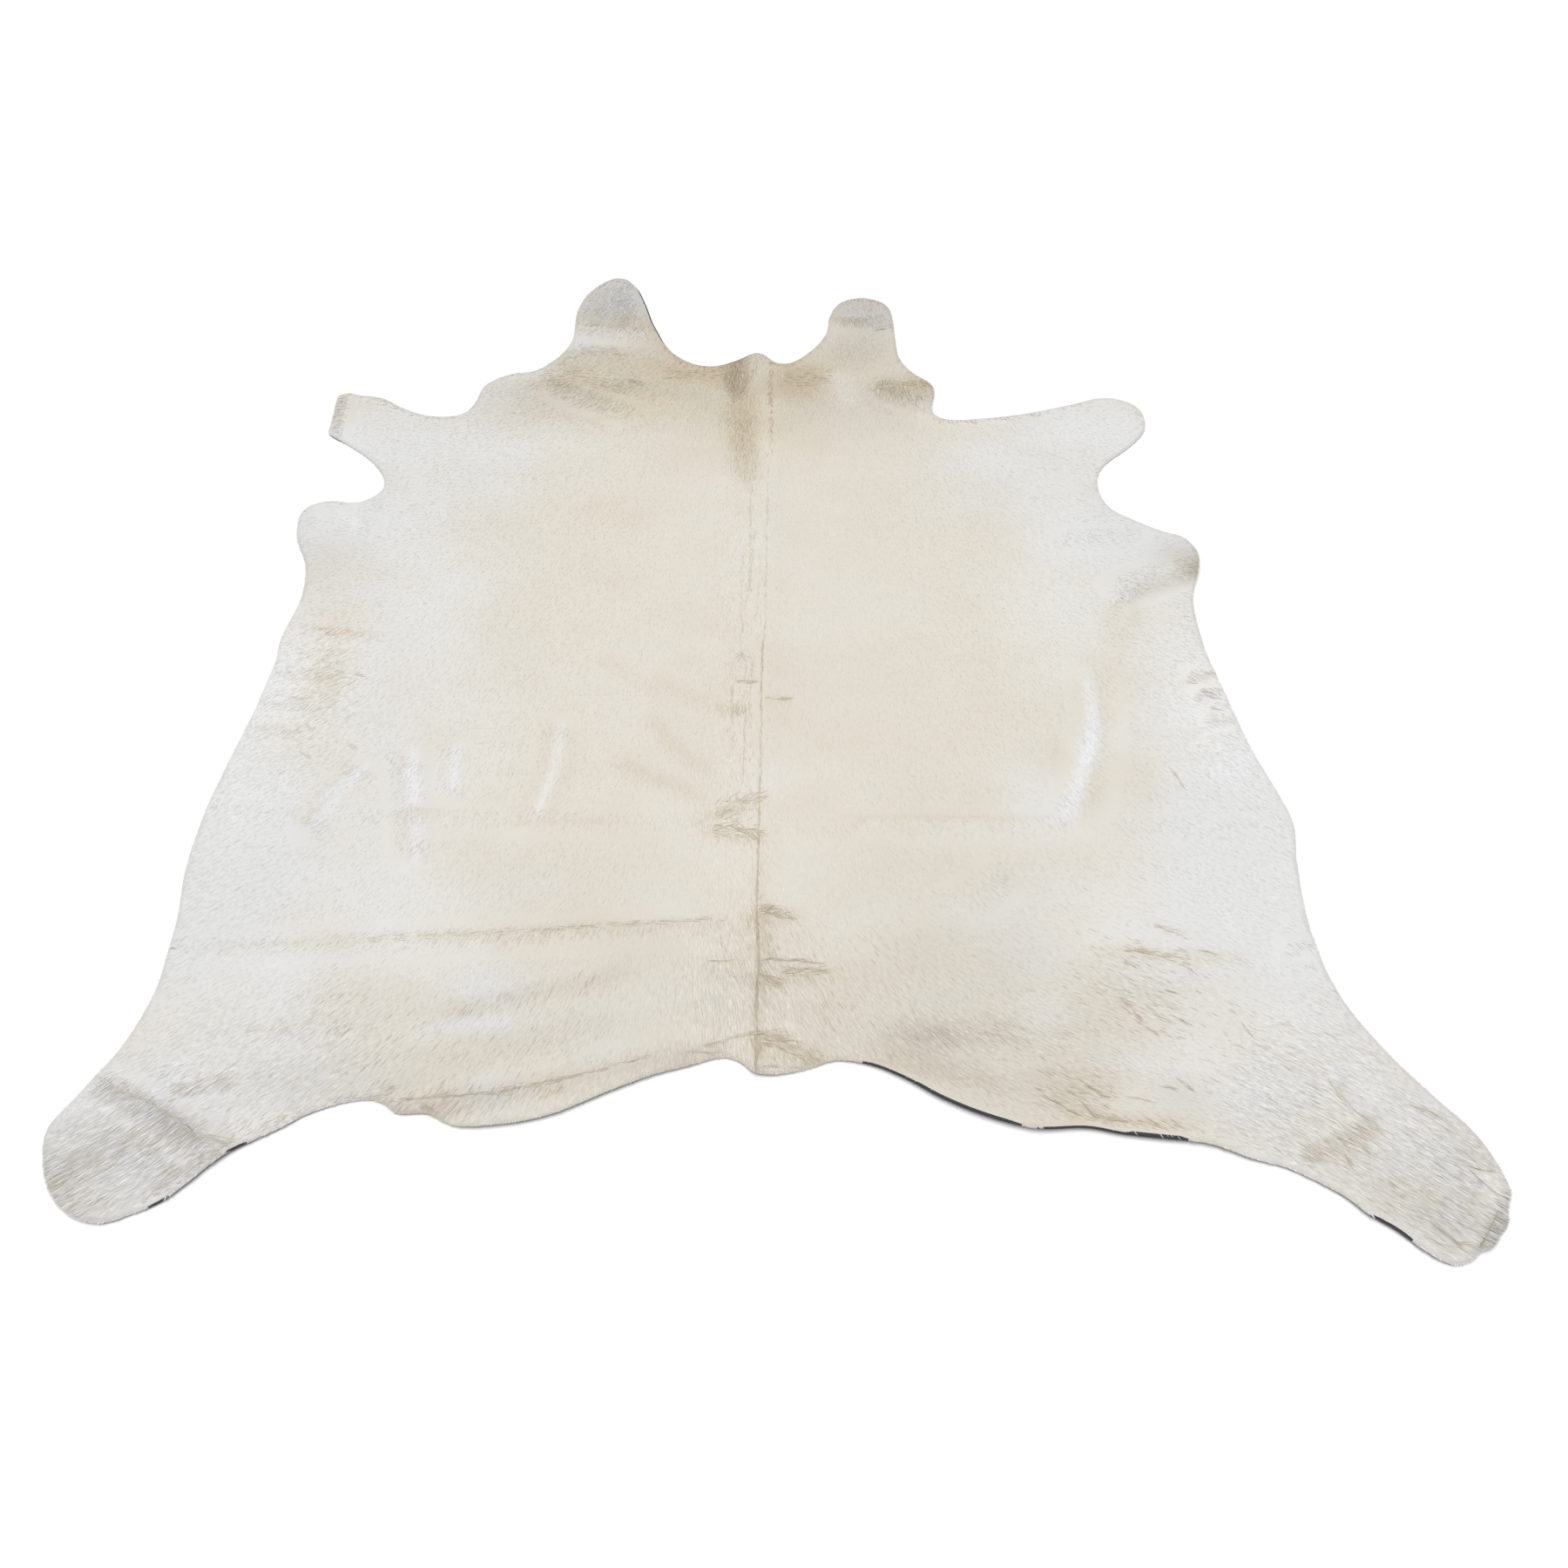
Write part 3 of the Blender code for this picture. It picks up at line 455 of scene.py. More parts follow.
# These lie along their line: a parting, a crease's thin shadow, or a tuft's shade.
CREASE_LINES = rows(
    Stroke,
    (-0.01, 0.48, -0.013, 0, 0, 0.001, 90, 0.02, 0.7, 6),
    (-0.036, 0.45, -0.044, 0.3, 0.004, 0.0014, 30, 0.03, 0.7, 8),
    (-0.044, 0.3, -0.05, 0.08, -0.004, 0.0014, 50, 0.02, 0.7, 8),
    (-0.034, 0.28, -0.04, 0.12, 0.003, 0.0012, 40, 0.03, 0.7, 8),
    (-0.058, 0.22, -0.054, 0.02, 0.003, 0.0014, 40, 0.01, 0.7, 8),
    (-0.024, 0.22, -0.03, 0.06, -0.003, 0.0012, 30, -0.05, 0.6, 8),
    (-0.07, -0.05, -0.064, -0.24, 0.003, 0.0016, 40, 0.02, 0.75, 8),
    (-0.05, -0.06, -0.048, -0.3, -0.003, 0.0016, 50, 0.02, 0.75, 8),
    (-0.034, -0.05, -0.036, -0.2, 0.003, 0.0014, 40, 0.01, 0.7, 8),
    (-0.016, 0, -0.018, -0.118, 0, 0.001, 60, 0.12, 0.85, 6),
    (-0.018, -0.118, -0.017, -0.3, 0, 0.0012, 70, 0.04, 0.8, 5),
    (-0.018, -0.3, -0.021, -0.57, 0, 0.0009, 150, 0.09, 0.9, 4),
    (-0.021, -0.56, -0.016, -0.66, 0, 0.0011, 80, 0.16, 0.9, 5),
    (-0.016, -0.66, -0.019, -0.725, 0, 0.0012, 60, 0.22, 0.8, 5),
    (-0.019, -0.725, -0.018, -0.832, 0, 0.0012, 100, 0.18, 0.8, 5),
    (-0.024, -0.77, -0.018, -0.79, 0, 0.003, 20, 0.22, 0.8, 12),
    (-0.112, 0.8, -0.086, 0.675, 0.006, 0.005, 60, 0.06, 0.9, 8),
    (-0.04, 0.81, -0.078, 0.675, -0.006, 0.006, 70, 0.07, 0.9, 8),
    (-0.066, -0.1, -0.036, -0.104, 0, 0.0034, 20, 0.04, 0.9, 10),
    (-0.016, -0.14, 0.03, -0.142, 0, 0.0024, 14, 0.02, 0.9, 8),
    (-0.1, -0.389, -0.053, -0.364, 0, 0.01, 44, 0.05, 0.98, 34),
    (-0.053, -0.364, -0.016, -0.352, 0, 0.006, 22, 0.04, 0.95, 30),
    (-0.105, -0.414, -0.061, -0.411, 0, 0.009, 44, 0.06, 0.98, 34),
    (-0.061, -0.411, -0.023, -0.426, 0, 0.008, 36, 0.06, 0.98, 30),
    (-0.022, -0.571, 0, -0.566, 0, 0.006, 34, 0.09, 0.98, 30),
    (0, -0.566, 0.03, -0.576, 0, 0.006, 30, 0.05, 0.98, 30),
    (-0.02, -0.657, -0.006, -0.653, 0, 0.0006, 14, 0.16, 0.6, 4),
    (-0.006, -0.653, 0.043, -0.654, -0.001, 0.0009, 50, 0.22, 0.5, 4),
    (0.043, -0.654, 0.074, -0.658, 0, 0.0008, 20, 0.12, 0.6, 4),
    (-0.024, -0.674, 0.007, -0.689, 0, 0.005, 40, 0.07, 0.95, 14),
    (0.012, -0.672, 0.088, -0.672, 0, 0.005, 50, 0.04, 0.95, 14),
    (-0.101, -0.655, -0.065, -0.655, 0, 0.0008, 10, 0.02, 0.8, 4),
    (-0.104, -0.797, -0.036, -0.777, 0, 0.0014, 40, 0.06, 0.8, 5),
    (-0.036, -0.777, -0.016, -0.775, 0, 0.0016, 24, 0.12, 0.8, 8),
    (-0.018, -0.782, 0.02, -0.787, 0, 0.006, 60, 0.1, 0.95, 16),
    (0.02, -0.787, 0.07, -0.815, 0, 0.006, 60, 0.03, 0.95, 14),
    (-0.022, -0.826, 0.05, -0.828, 0, 0.0014, 34, 0.12, 0.6, 8),
    (-0.13, -0.803, -0.06, -0.805, 0, 0.0016, 30, 0.1, 0.2, 10),
    (-0.952, -0.634, -0.938, -0.634, 0, 0.0008, 10, 0.34, 0.3, 4),
    (-0.64, -0.619, -0.44, -0.606, -0.002, 0.003, 40, 0, 0.6, 3),
    (-0.44, -0.606, -0.25, -0.592, 0, 0.0026, 50, 0.01, 0.65, 3),
    (-0.25, -0.592, -0.076, -0.581, 0, 0.0022, 50, 0.01, 0.75, 3),
    (-0.992, -0.842, -0.955, -0.862, 0, 0.0008, 40, 0.14, 0.4, 3),
    (-0.955, -0.862, -0.912, -0.878, 0, 0.0009, 44, 0.17, 0.4, 3),
    (-0.912, -0.878, -0.867, -0.901, 0, 0.0011, 44, 0.19, 0.4, 4),
    (-0.867, -0.901, -0.83, -0.927, 0, 0.0018, 44, 0.17, 0.4, 5),
    (-0.83, -0.927, -0.77, -0.941, 0, 0.004, 44, 0.08, 0.4, 7),
    (-0.512, -0.883, -0.487, -0.893, 0, 0.002, 24, 0.16, 0.6, 8),
    (-0.56, -0.878, -0.41, -0.866, 0, 0.0014, 60, 0.06, 0.7, 5),
    (-0.4, -0.864, -0.19, -0.813, 0.004, 0.002, 90, 0.02, 0.85, 5),
    (-0.88, -1.022, -0.78, -0.957, 0, 0.006, 90, 0.09, 0.5, 8),
    (-0.74, -0.92, -0.56, -0.862, 0, 0.005, 110, 0.09, 0.6, 6),
    (0.555, -0.638, 0.582, -0.64, -0.002, 0.0014, 14, 0.12, 0.95, 10),
    (0.56, -0.632, 0.65, -0.655, -0.002, 0.006, 50, 0.05, 0.98, 10),
    (0.672, -0.634, 0.696, -0.642, -0.001, 0.0008, 10, 0.12, 0.95, 5),
    (0.61, -0.588, 0.672, -0.618, 0, 0.0026, 20, 0.03, 0.9, 5),
    (0.649, -0.66, 0.657, -0.67, 0, 0.002, 6, 0.1, 0.95, 8),
    (0.553, -0.651, 0.57, -0.664, 0, 0.003, 10, 0.07, 0.98, 8),
    (0.608, -0.701, 0.619, -0.706, 0, 0.0008, 5, 0.16, 0.95, 5),
    (0.535, -0.714, 0.549, -0.724, 0, 0.0024, 9, 0.08, 0.98, 8),
    (0.549, -0.73, 0.561, -0.746, 0, 0.0024, 9, 0.08, 0.98, 8),
    (0.583, -0.742, 0.602, -0.75, 0, 0.002, 8, 0.08, 0.98, 6),
    (0.614, -0.742, 0.636, -0.756, 0.002, 0.0012, 8, 0.12, 0.95, 5),
    (0.569, -0.761, 0.584, -0.772, 0, 0.0012, 7, 0.14, 0.95, 5),
    (0.717, -0.754, 0.727, -0.771, 0, 0.001, 6, 0.08, 0.75, 5),
    (0.473, -0.857, 0.479, -0.86, 0, 0.001, 5, 0.2, 0.85, 5),
    (0.48, -0.867, 0.493, -0.871, 0, 0.001, 7, 0.18, 0.95, 5),
    (0.462, -0.852, 0.478, -0.86, 0, 0.0009, 8, 0.18, 0.9, 5),
    (0.394, -0.868, 0.416, -0.878, 0, 0.001, 9, 0.1, 0.95, 5),
    (0.416, -0.88, 0.446, -0.897, 0.001, 0.001, 14, 0.12, 0.95, 5),
    (0.454, -0.873, 0.469, -0.896, 0, 0.0014, 12, 0.1, 0.95, 8),
    (0.463, -0.897, 0.512, -0.909, 0.001, 0.0012, 20, 0.11, 0.98, 5),
    (0.48, -0.902, 0.53, -0.912, 0, 0.0014, 14, 0.08, 0.98, 5),
    (0.604, -0.839, 0.619, -0.856, 0, 0.001, 9, 0.1, 0.8, 6),
    (0.575, -0.853, 0.603, -0.862, -0.001, 0.001, 11, 0.08, 0.85, 6),
    (0.518, -0.87, 0.561, -0.88, 0, 0.0009, 14, 0.07, 0.8, 4),
    (0.826, -0.841, 0.853, -0.89, 0, 0.002, 30, 0.06, 0.6, 6),
    (0.853, -0.89, 0.88, -0.918, 0, 0.0024, 26, 0.06, 0.6, 6),
    (0.822, -0.948, 0.828, -0.963, 0, 0.0014, 10, 0.16, 0.7, 8),
    (0.934, -0.88, 0.973, -0.899, 0, 0.0009, 16, 0.1, 0.6, 4),
    (0.981, -0.967, 1.02, -0.977, 0.002, 0.0006, 16, 0.16, 0.5, 3),
    (0.994, -0.974, 1.014, -1.001, 0, 0.0006, 14, 0.14, 0.6, 3),
    (0.918, -1.046, 0.947, -1.078, 0, 0.0011, 20, 0.14, 0.6, 4),
    (0.938, -1.075, 0.982, -1.083, 0, 0.0012, 24, 0.16, 0.6, 4),
    (1.023, -1.028, 0.98, -1.078, 0, 0.0009, 36, 0.14, 0.7, 3),
    # The next two rows are a painted highlight and a painted shadow along the right prong's
    # crease.
    (0.222, 0.916, 0.284, 0.93, 0, 0.001, 20, -0.08, 0.4, 4),
    (0.222, 0.906, 0.284, 0.92, 0, 0.0014, 24, 0.12, 0.7, 4),
    (-0.52, 0.746, -0.44, 0.751, 0, 0.016, 60, 0.01, 0.9, 8),
    (-0.45, 0.751, -0.32, 0.717, 0, 0.016, 90, 0.02, 0.95, 8),
    (-0.326, 0.741, -0.286, 0.722, 0, 0.004, 24, 0.04, 0.95, 8),
    (-0.44, 0.835, -0.33, 0.83, 0, 0.01, 60, 0.01, 0.9, 8),
    (-0.25, 0.76, -0.12, 0.755, 0, 0.012, 80, 0.02, 0.98, 8),
    (0.02, 0.74, 0.12, 0.74, 0, 0.016, 90, 0.02, 0.98, 8),
    (0.21, 0.716, 0.34, 0.72, 0, 0.008, 70, 0.04, 0.95, 8),
    (0.69, -0.28, 0.706, -0.325, 0, 0.0024, 14, 0.04, 0.9, 8),
    (0.75, -0.1, 0.764, -0.106, 0, 0.0012, 8, 0.12, 0.4, 8),
    (0.782, -0.084, 0.797, -0.088, 0, 0.0012, 8, 0.12, 0.4, 8),
    (0.768, -0.124, 0.784, -0.13, 0, 0.0014, 10, 0.14, 0.4, 8),
    (0.776, -0.138, 0.793, -0.142, 0, 0.0014, 10, 0.14, 0.4, 8),
    (0.778, -0.16, 0.793, -0.167, 0, 0.0012, 8, 0.12, 0.4, 8),
    (-0.822, -0.064, -0.79, -0.078, 0, 0.002, 8, 0.07, 0.8, 8),
    (-0.764, -0.085, -0.742, -0.09, 0, 0.0012, 8, 0.05, 0.8, 8),
    (-0.89, -0.068, -0.88, -0.084, 0, 0.0016, 4, 0.07, 0.5, 8),
    (-0.868, -0.14, -0.838, -0.142, 0.002, 0.002, 8, 0.07, 0.7, 8),
    (-0.83, -0.188, -0.82, -0.202, 0, 0.0014, 8, 0.1, 0.5, 8),
    (-0.828, -0.254, -0.812, -0.264, 0, 0.0014, 8, 0.06, 0.6, 8),
    (-0.748, -0.232, -0.726, -0.252, 0, 0.002, 10, 0.04, 0.7, 8),
)

DARK_EDGES = rows(
    DarkEdge,
    (0.12, -0.815, 0.26, -0.874, 0.0026),
    (0.19, -0.838, 0.39, -0.912, 0.0038),
    (0.37, -0.912, 0.545, -0.925, 0.0024),
    (0.505, -0.921, 0.61, -0.938, 0.0052),
    (0.6, -0.936, 0.66, -0.946, 0.0014),
    (0.655, -0.946, 0.745, -0.972, 0.0014),
    (0.84, -1.03, 0.895, -1.076, 0.003),
    (-0.475, -0.912, -0.175, -0.838, 0.0014),
    (-0.872, -1.026, -0.842, -1.008, 0.0018),
    (-0.842, -1.006, -0.77, -0.95, 0.0008),
    (-0.776, -0.957, -0.744, -0.937, 0.0022),
    (0.862, -0.33, 0.85, -0.26, 0.0016),
    (-0.228, 0.825, -0.345, 1.085, 0.0032),
)

# A dark stretch narrows at each end over this share of its length. Where it is this much wider
# than the plain edge, hair stops short of the cut by this share of its width.
DARK_EDGE_FADE = 0.2
DARK_EDGE_STEP = 0.001
DARK_EDGE_KEPT = 0.6

# The strip along the cut is charcoal suede, partly painted shade, where it is this many times its
# plain width, and as thick there as this share of the leather.
DARK_EDGE_FROM = 1.4
EDGE_LEATHER = 0.8

# How many rows of cells are evened out beside the cut edge, and in how many rounds.
EVENED_ROWS, EVENING_ROUNDS = 2, 6

# A face points up or down, not aside, where its normal's height passes this. Where the solid's
# rim turns less than this angle, a corner only lies on a chord.
UPRIGHT = 0.5
CHORD_TURN = 1e-3
SAME_PLACE = 1e-5

# A layer of locks: its seed, its locks' length, width and lift against the plain sizes, and the
# attribute that says how thickly it grows at each place.
Layer = namedtuple("Layer", "name seed length width lift growth")
LAYERS = rows(
    Layer,
    ("undercoat", 11, 0.85, 1.20, 0.4, "pile"),
    ("middle_coat", 23, 1.00, 1.00, 0.8, "pile"),
    ("top_coat", 37, 1.05, 0.85, 1.1, "pile"),
    ("guard_hair", 59, 1.20, 0.65, 1.4, "pile"),
    ("coarse_hair", 67, 1.00, 0.75, 1.5, "rough"),
)
# The locks of partings and stains, and of painted shadow in creases and painted highlight on
# crests.
LINES = Layer("parting_hair", 71, 1.00, 0.62, 1.5, "")
FRINGE = Layer("edge_hair", 83, 0.70, 0.80, 0.0, "")
PILE_GROWTH = Rising(0.6, 1.2)

# How locks grow with coarseness, and between which limits each one's own share lies: of the plain
# length and width, of sway and rise in radians, of warmth and of darkness. Clumps sway together.
LOCK_LENGTH, LENGTHS = Rising(0.9, 1.4), (0.75, 1.2)
LOCK_WIDTH, WIDTHS = Rising(0.8, -0.25), (0.7, 1.2)
LOCK_SWAY, SWAYS = Rising(0.3, 0.1), (-0.16, 0.16)
LOCK_RISE, RISES = Rising(0.3, 1), (-0.02, 0.03)
LOCK_WARMTH, WARMTHS = Rising(0.3, 1), (-0.12, 0.12)
LOCK_SHADE, DARKNESSES = Rising(0.018, 0.24), (0.5, 1.5)
CLUMP_SCALE, CLUMP_SWAY, CLUMP_SHADE = 45, 0.8, 0.02
SHORTEST_LOCK = 0.002

# A few locks are painted shade for the shadowed gaps of a coarse coat. They are narrower, warmer
# and darker, and the other locks there are lighter to offset them and the coarse coat's own shade.
GAP_RARITY = 4
GAP_NARROWER, GAP_WARMTH, GAP_SHADE, COARSE_LIGHT = 0.55, 0.4, 0.55, 0.34

# A lock is a little lighter than the flattened hair, and darker at its root: painted shade where
# hair lies under hair. Its warmth and its light stay within the colour ramps.
LOCK_LIGHTER = 0.01
ROOT_SHADE = Rising(0.025, 0.10)
WARM_LIMITS = (0.02, 0.98)
LIGHT_LIMITS = (0.20, 0.98)

# How far above the flattened hair the locks of strokes stand, so that they show, and the step
# over which the hide's slope is taken there.
STROKE_LIFT = Rising(0.0006, 0.0014)
SLOPE_STEP = 0.004
STROKE_SEED, FRINGE_SEED = 7, 19

# The fringe's roots stand this far in from the dark strip at the cut edge, and its locks lean
# out. They cross a strip narrower than the first width, and now and then one wider than the
# second. A lock that hardly leans out has a plain length.
FRINGE_ROOTS = (0.001, 0.004)
FRINGE_LEAN = 0.6
FRINGE_SWAY = math.radians(12)
CROSSED_WIDTH, WIDE_EDGE, WIDE_CROSSINGS = 0.0015, 0.004, 0.016
LEANS_OUT, LEAST_LEAN, FRINGE_LENGTH = 0.1, 0.25, 0.012

# Soft blotches: the scale of the small ones, which are wider than long, and of the broad ones,
# the share of the small ones, and how much warmer and darker the hair is there.
CLOUDS = (7, 11, 7)
BROAD_CLOUDS = 2.6
SMALL_SHARE = 0.6
CLOUD_SWING = 0.5
CLOUD_SHADE = 0.10

# The flattened hair is streaked, and darker where the coat is coarse: painted shade between the
# coarse locks. The suede's nap is finer.
STREAK_SCALE, STREAK_STRETCH = 420, (1, 0.22, 1)
STREAK_SHADE, COARSE_SHADE = Rising(0.03, 0.20), 0.08
SUEDE_SCALE, SUEDE_PALER = 900, 2.2
GRAIN_DEPTH = 0.0004

# Each lock carries its colour on its own map: its warmth across and its light upwards. What else
# its mesh inherits is taken off again.
TONES = "OFBake"
TONE_WIDTH = 0.006
POINT_DATA = (
    "tone", "warm", "dark", "coarse", "pile", "room", "nap", "up", "sway", "at_edge", "on_top",
    "grows", "rough",
)

# Half the floor's width and how far it lies below the hide, where the light from above hangs,
# and the width of the camera's sensor in mm.
FLOOR_HALF = 20
FLOOR_DROP = 0.0006
KEY_PLACE = (-0.25, 0.45, 4.0)
SENSOR_WIDTH = 36


def size_of(name, description, default):
    return FloatProperty(name=name, description=description, default=default, unit="LENGTH")


def angle_of(name, description, degrees):
    turn = math.radians(degrees)
    return FloatProperty(name=name, description=description, default=turn, subtype="ANGLE")


def count_of(name, description, default):
    return IntProperty(name=name, description=description, default=default)


def colour_of(name, description, default):
    return FloatVectorProperty(
        name=name, description=description, default=default, subtype="COLOR"
    )


class HideSizes(bpy.types.PropertyGroup):
    leather: size_of("Leather", "Thickness of the leather", 0.0025)
    pile: size_of("Flattened hair", "Thickness of the hair that lies flat under the locks", 0.0016)
    spine_hair: size_of("Spine hair", "How much higher hair stands beside the parting", 0.003)
    spine_band: size_of("Spine band", "Half width of the raised hair along the spine", 0.045)
    cell: size_of("Cell", "Size of the sheet's cells", 0.0098)
    edge_step: size_of("Edge step", "Spacing of the places along the cut edge", 0.004)
    edge_width: size_of("Cut edge", "Width of leather that shows where hair covers most", 0.001)


class HairSizes(bpy.types.PropertyGroup):
    length: size_of("Length", "Length of a lock of hair", 0.015)
    width: size_of("Width", "Width of a lock of hair", 0.0019)
    thickness: size_of("Thickness", "Thickness of a lock where the coat is smooth", 0.00022)
    coarse_thickness: size_of("Coarse thickness", "How much thicker a coarse lock is", 0.0003)
    lift: angle_of("Lift", "How far a lock stands off the hide where the coat is smooth", 1.2)
    coarse_lift: angle_of("Coarse lift", "How much more a coarse lock stands off", 3.5)
    overhang: size_of("Overhang", "How far hair reaches past the cut edge", 0.003)
    locks: count_of("Locks", "Number of locks in each layer of the coat", 41000)
    coarse_locks: count_of("Coarse locks", "Number of locks where the coat is coarse", 22000)
    fringe: count_of("Edge hairs", "Number of locks along the cut edge", 9000)


class HideColours(bpy.types.PropertyGroup):
    cool: colour_of("Cool white", "Hair at the belly's edges", (0.785, 0.795, 0.800))
    cream: colour_of("Cream", "Hair over most of the hide", (0.785, 0.755, 0.690))
    rosy: colour_of("Rosy cream", "Hair between cream and straw", (0.785, 0.735, 0.650))
    straw: colour_of("Straw", "Hair beside the spine", (0.770, 0.715, 0.590))
    beige: colour_of("Beige", "Hair at the neck", (0.740, 0.635, 0.490))
    umber: colour_of("Umber", "Shade between locks", (0.170, 0.130, 0.075))
    charcoal: colour_of("Charcoal", "Flesh side and cut edge", (0.030, 0.030, 0.034))


class StageSizes(bpy.types.PropertyGroup):
    eye_height: size_of("Eye height", "Camera height", 1.73)
    eye_across: size_of("Eye across", "Camera place across", 0.0232)
    eye_back: size_of("Eye back", "Camera distance towards the tail", 1.4446)
    pitch: angle_of("Pitch", "How far the camera looks down", 57)
    lens: FloatProperty(name="Lens", description="Focal length in mm", default=27.5)
    sky: FloatProperty(name="Sky", description="Strength of the even light", default=0.45)
    key: FloatProperty(name="Key", description="Strength of the light from above", default=2.3)
    key_softness: angle_of("Key softness", "How wide the light from above is", 50)
    floor: colour_of("Floor", "Floor colour", (0.97, 0.97, 0.97))


class Socket:
    """A node's output that takes part in sums, each of which adds a Math node."""

    def __init__(self, tree, output):
        self.tree = tree
        self.output = output

    def __add__(self, other):
        return self.tree.maths("ADD", self, other)

    def __radd__(self, other):
        return self.tree.maths("ADD", other, self)

    def __sub__(self, other):
        return self.tree.maths("SUBTRACT", self, other)

    def __rsub__(self, other):
        return self.tree.maths("SUBTRACT", other, self)

    def __mul__(self, other):
        return self.tree.maths("MULTIPLY", self, other)

    def __rmul__(self, other):
        return self.tree.maths("MULTIPLY", other, self)


class Tree:
    """A node tree, of a material or of Geometry Nodes."""

    def __init__(self, nodes):
        self.nodes = nodes

    def node(self, kind, settings=None, inputs=None, out=0):
        """Adds a node, sets it up, then gives its inputs values or links. Returns an output."""
        made = self.nodes.nodes.new(kind)
        for name, value in (settings or {}).items():
            if name == "stops":
                self.set_stops(made.color_ramp.elements, value)
            else:
                setattr(made, name, value)
        for name, value in (inputs or {}).items():
            self.feed(made.inputs[name], value)
        return Socket(self, made.outputs[out]) if len(made.outputs) else made

    def feed(self, put, value):
        if isinstance(value, Socket):
            self.nodes.links.new(value.output, put)
        else:
            put.default_value = value

    def set_stops(self, elements, stops):
        while len(elements) < len(stops):
            elements.new(0.5)
        for element, (place, colour) in zip(elements, stops):
            element.position = place
            element.color = (*colour, 1)

    def maths(self, operation, *values):
        inputs = dict(enumerate(values))
        return self.node("ShaderNodeMath", {"operation": operation}, inputs)

    def clamped(self, value, low=0.0, high=1.0):
        return self.node("ShaderNodeClamp", None, {"Value": value, "Min": low, "Max": high})

    def attribute(self, name):
        return self.node("ShaderNodeAttribute", {"attribute_name": name}, None, "Fac")

    def clouds(self, place):
        """Soft blotches small and large, from about -0.3 to 0.3."""
        drawn = self.node("ShaderNodeVectorMath", {"operation": "MULTIPLY"}, {0: place, 1: CLOUDS})
        small = SMALL_SHARE * (self.noise(drawn, 1, 3) - 0.5)
        return small + (self.noise(place, BROAD_CLOUDS, 2) - 0.5)

    def noise(self, vector, scale, detail=2.0):
        inputs = {"Vector": vector, "Scale": scale, "Detail": detail}
        return self.node("ShaderNodeTexNoise", None, inputs)


class LockTree(Tree):
    """The Geometry Nodes that grow one layer of locks."""

    def __init__(self, layer):
        super().__init__(bpy.data.node_groups.new(layer.name, "GeometryNodeTree"))
        self.nodes.interface.new_socket(
            "Geometry", in_out="OUTPUT", socket_type="NodeSocketGeometry"
        )
        self.seed = layer.seed

    def read(self, name, kind="FLOAT"):
        return self.node("GeometryNodeInputNamedAttribute", {"data_type": kind}, {"Name": name})

    def chance(self, low, high, draw):
        """A random value for each lock. Each draw's number gives it another one."""
        inputs = {2: low, 3: high, "Seed": self.seed + draw}
        return self.node("FunctionNodeRandomValue", {"data_type": "FLOAT"}, inputs, 1)

    def mesh_of(self, source):
        return self.node("GeometryNodeObjectInfo", None, {"Object": source}, "Geometry")

    def store(self, geometry, name, kind, domain, value):
        settings = {"data_type": kind, "domain": domain}
        inputs = {"Geometry": geometry, "Name": name, "Value": value}
        return self.node("GeometryNodeStoreNamedAttribute", settings, inputs)

    def turned(self, rotation, axis, angle):
        turn = {"Axis": axis, "Angle": angle}
        by = self.node("FunctionNodeAxisAngleToRotation", None, turn)
        inputs = {"Rotation": rotation, "Rotate By": by}
        return self.node("FunctionNodeRotateRotation", {"rotation_space": "LOCAL"}, inputs)

    def vector(self, x, y, z):
        return self.node("ShaderNodeCombineXYZ", None, {"X": x, "Y": y, "Z": z})

    def part(self, whole, axis):
        return self.node("ShaderNodeSeparateXYZ", None, {"Vector": whole}, axis)

    def mesh(self, geometry, name):
        """Runs the nodes on an empty helper and keeps the mesh that they make."""
        finish = self.node("NodeGroupOutput", None, {"Geometry": geometry})
        finish.is_active_output = True
        helper = new_object(name + "_helper", bpy.data.meshes.new("empty"))
        helper.modifiers.new("locks", "NODES").node_group = self.nodes
        evaluated = helper.evaluated_get(bpy.context.evaluated_depsgraph_get())
        mesh = bpy.data.meshes.new_from_object(evaluated)
        bpy.data.objects.remove(helper)
        mesh.name = name
        return mesh


def bell(distance):
    """1 at the middle, 0 at the foot and beyond, level at both."""
    return np.where(np.abs(distance) < 1, (1 - distance * distance) ** 2, 0.0)


def ease(share):
    share = np.clip(share, 0, 1)
    return share * share * (3 - 2 * share)


def rising(value, coarse):
    """What a value comes to at a place's coarseness, given in numbers or as a socket."""
    return value.smooth + value.coarse * coarse


def bowed(line, share):
    """How far a line has bowed out at each share of its length, most at its middle."""
    return line.bow * 4 * share * (1 - share)


def looped(items):
    """Each item with the next one round the loop."""
    return zip(items, items[1:] + items[:1])


def signed_area(places):
    return sum(a.x * b.y - b.x * a.y for a, b in looped(places)) / 2


def along_and_aside(line, x, y):
    """How far along the line each place is, as a share, and how far to its right."""
    run = np.array((line.to_across - line.from_across, line.to_along - line.from_along))
    length = np.linalg.norm(run)
    ahead = run / length
    off_x, off_y = x - line.from_across, y - line.from_along
    share = (off_x * ahead[0] + off_y * ahead[1]) / length
    return share, off_x * ahead[1] - off_y * ahead[0]


def band_share(band, x, y):
    """1 along the middle of a fold or band, 0 at its sides, its ends and beyond."""
    share, aside = along_and_aside(band, x, y)
    fade = ease(share / END_FADE) * ease((1 - share) / END_FADE)
    return fade * bell((aside - bowed(band, share)) / band.width)


def folded(x, y):
    return sum(fold.rise * band_share(fold, x, y) for fold in FOLDS)


def spine_across(y):
    order = sorted(SPINE)
    return np.interp(y, [part.along for part in order], [part.across for part in order])


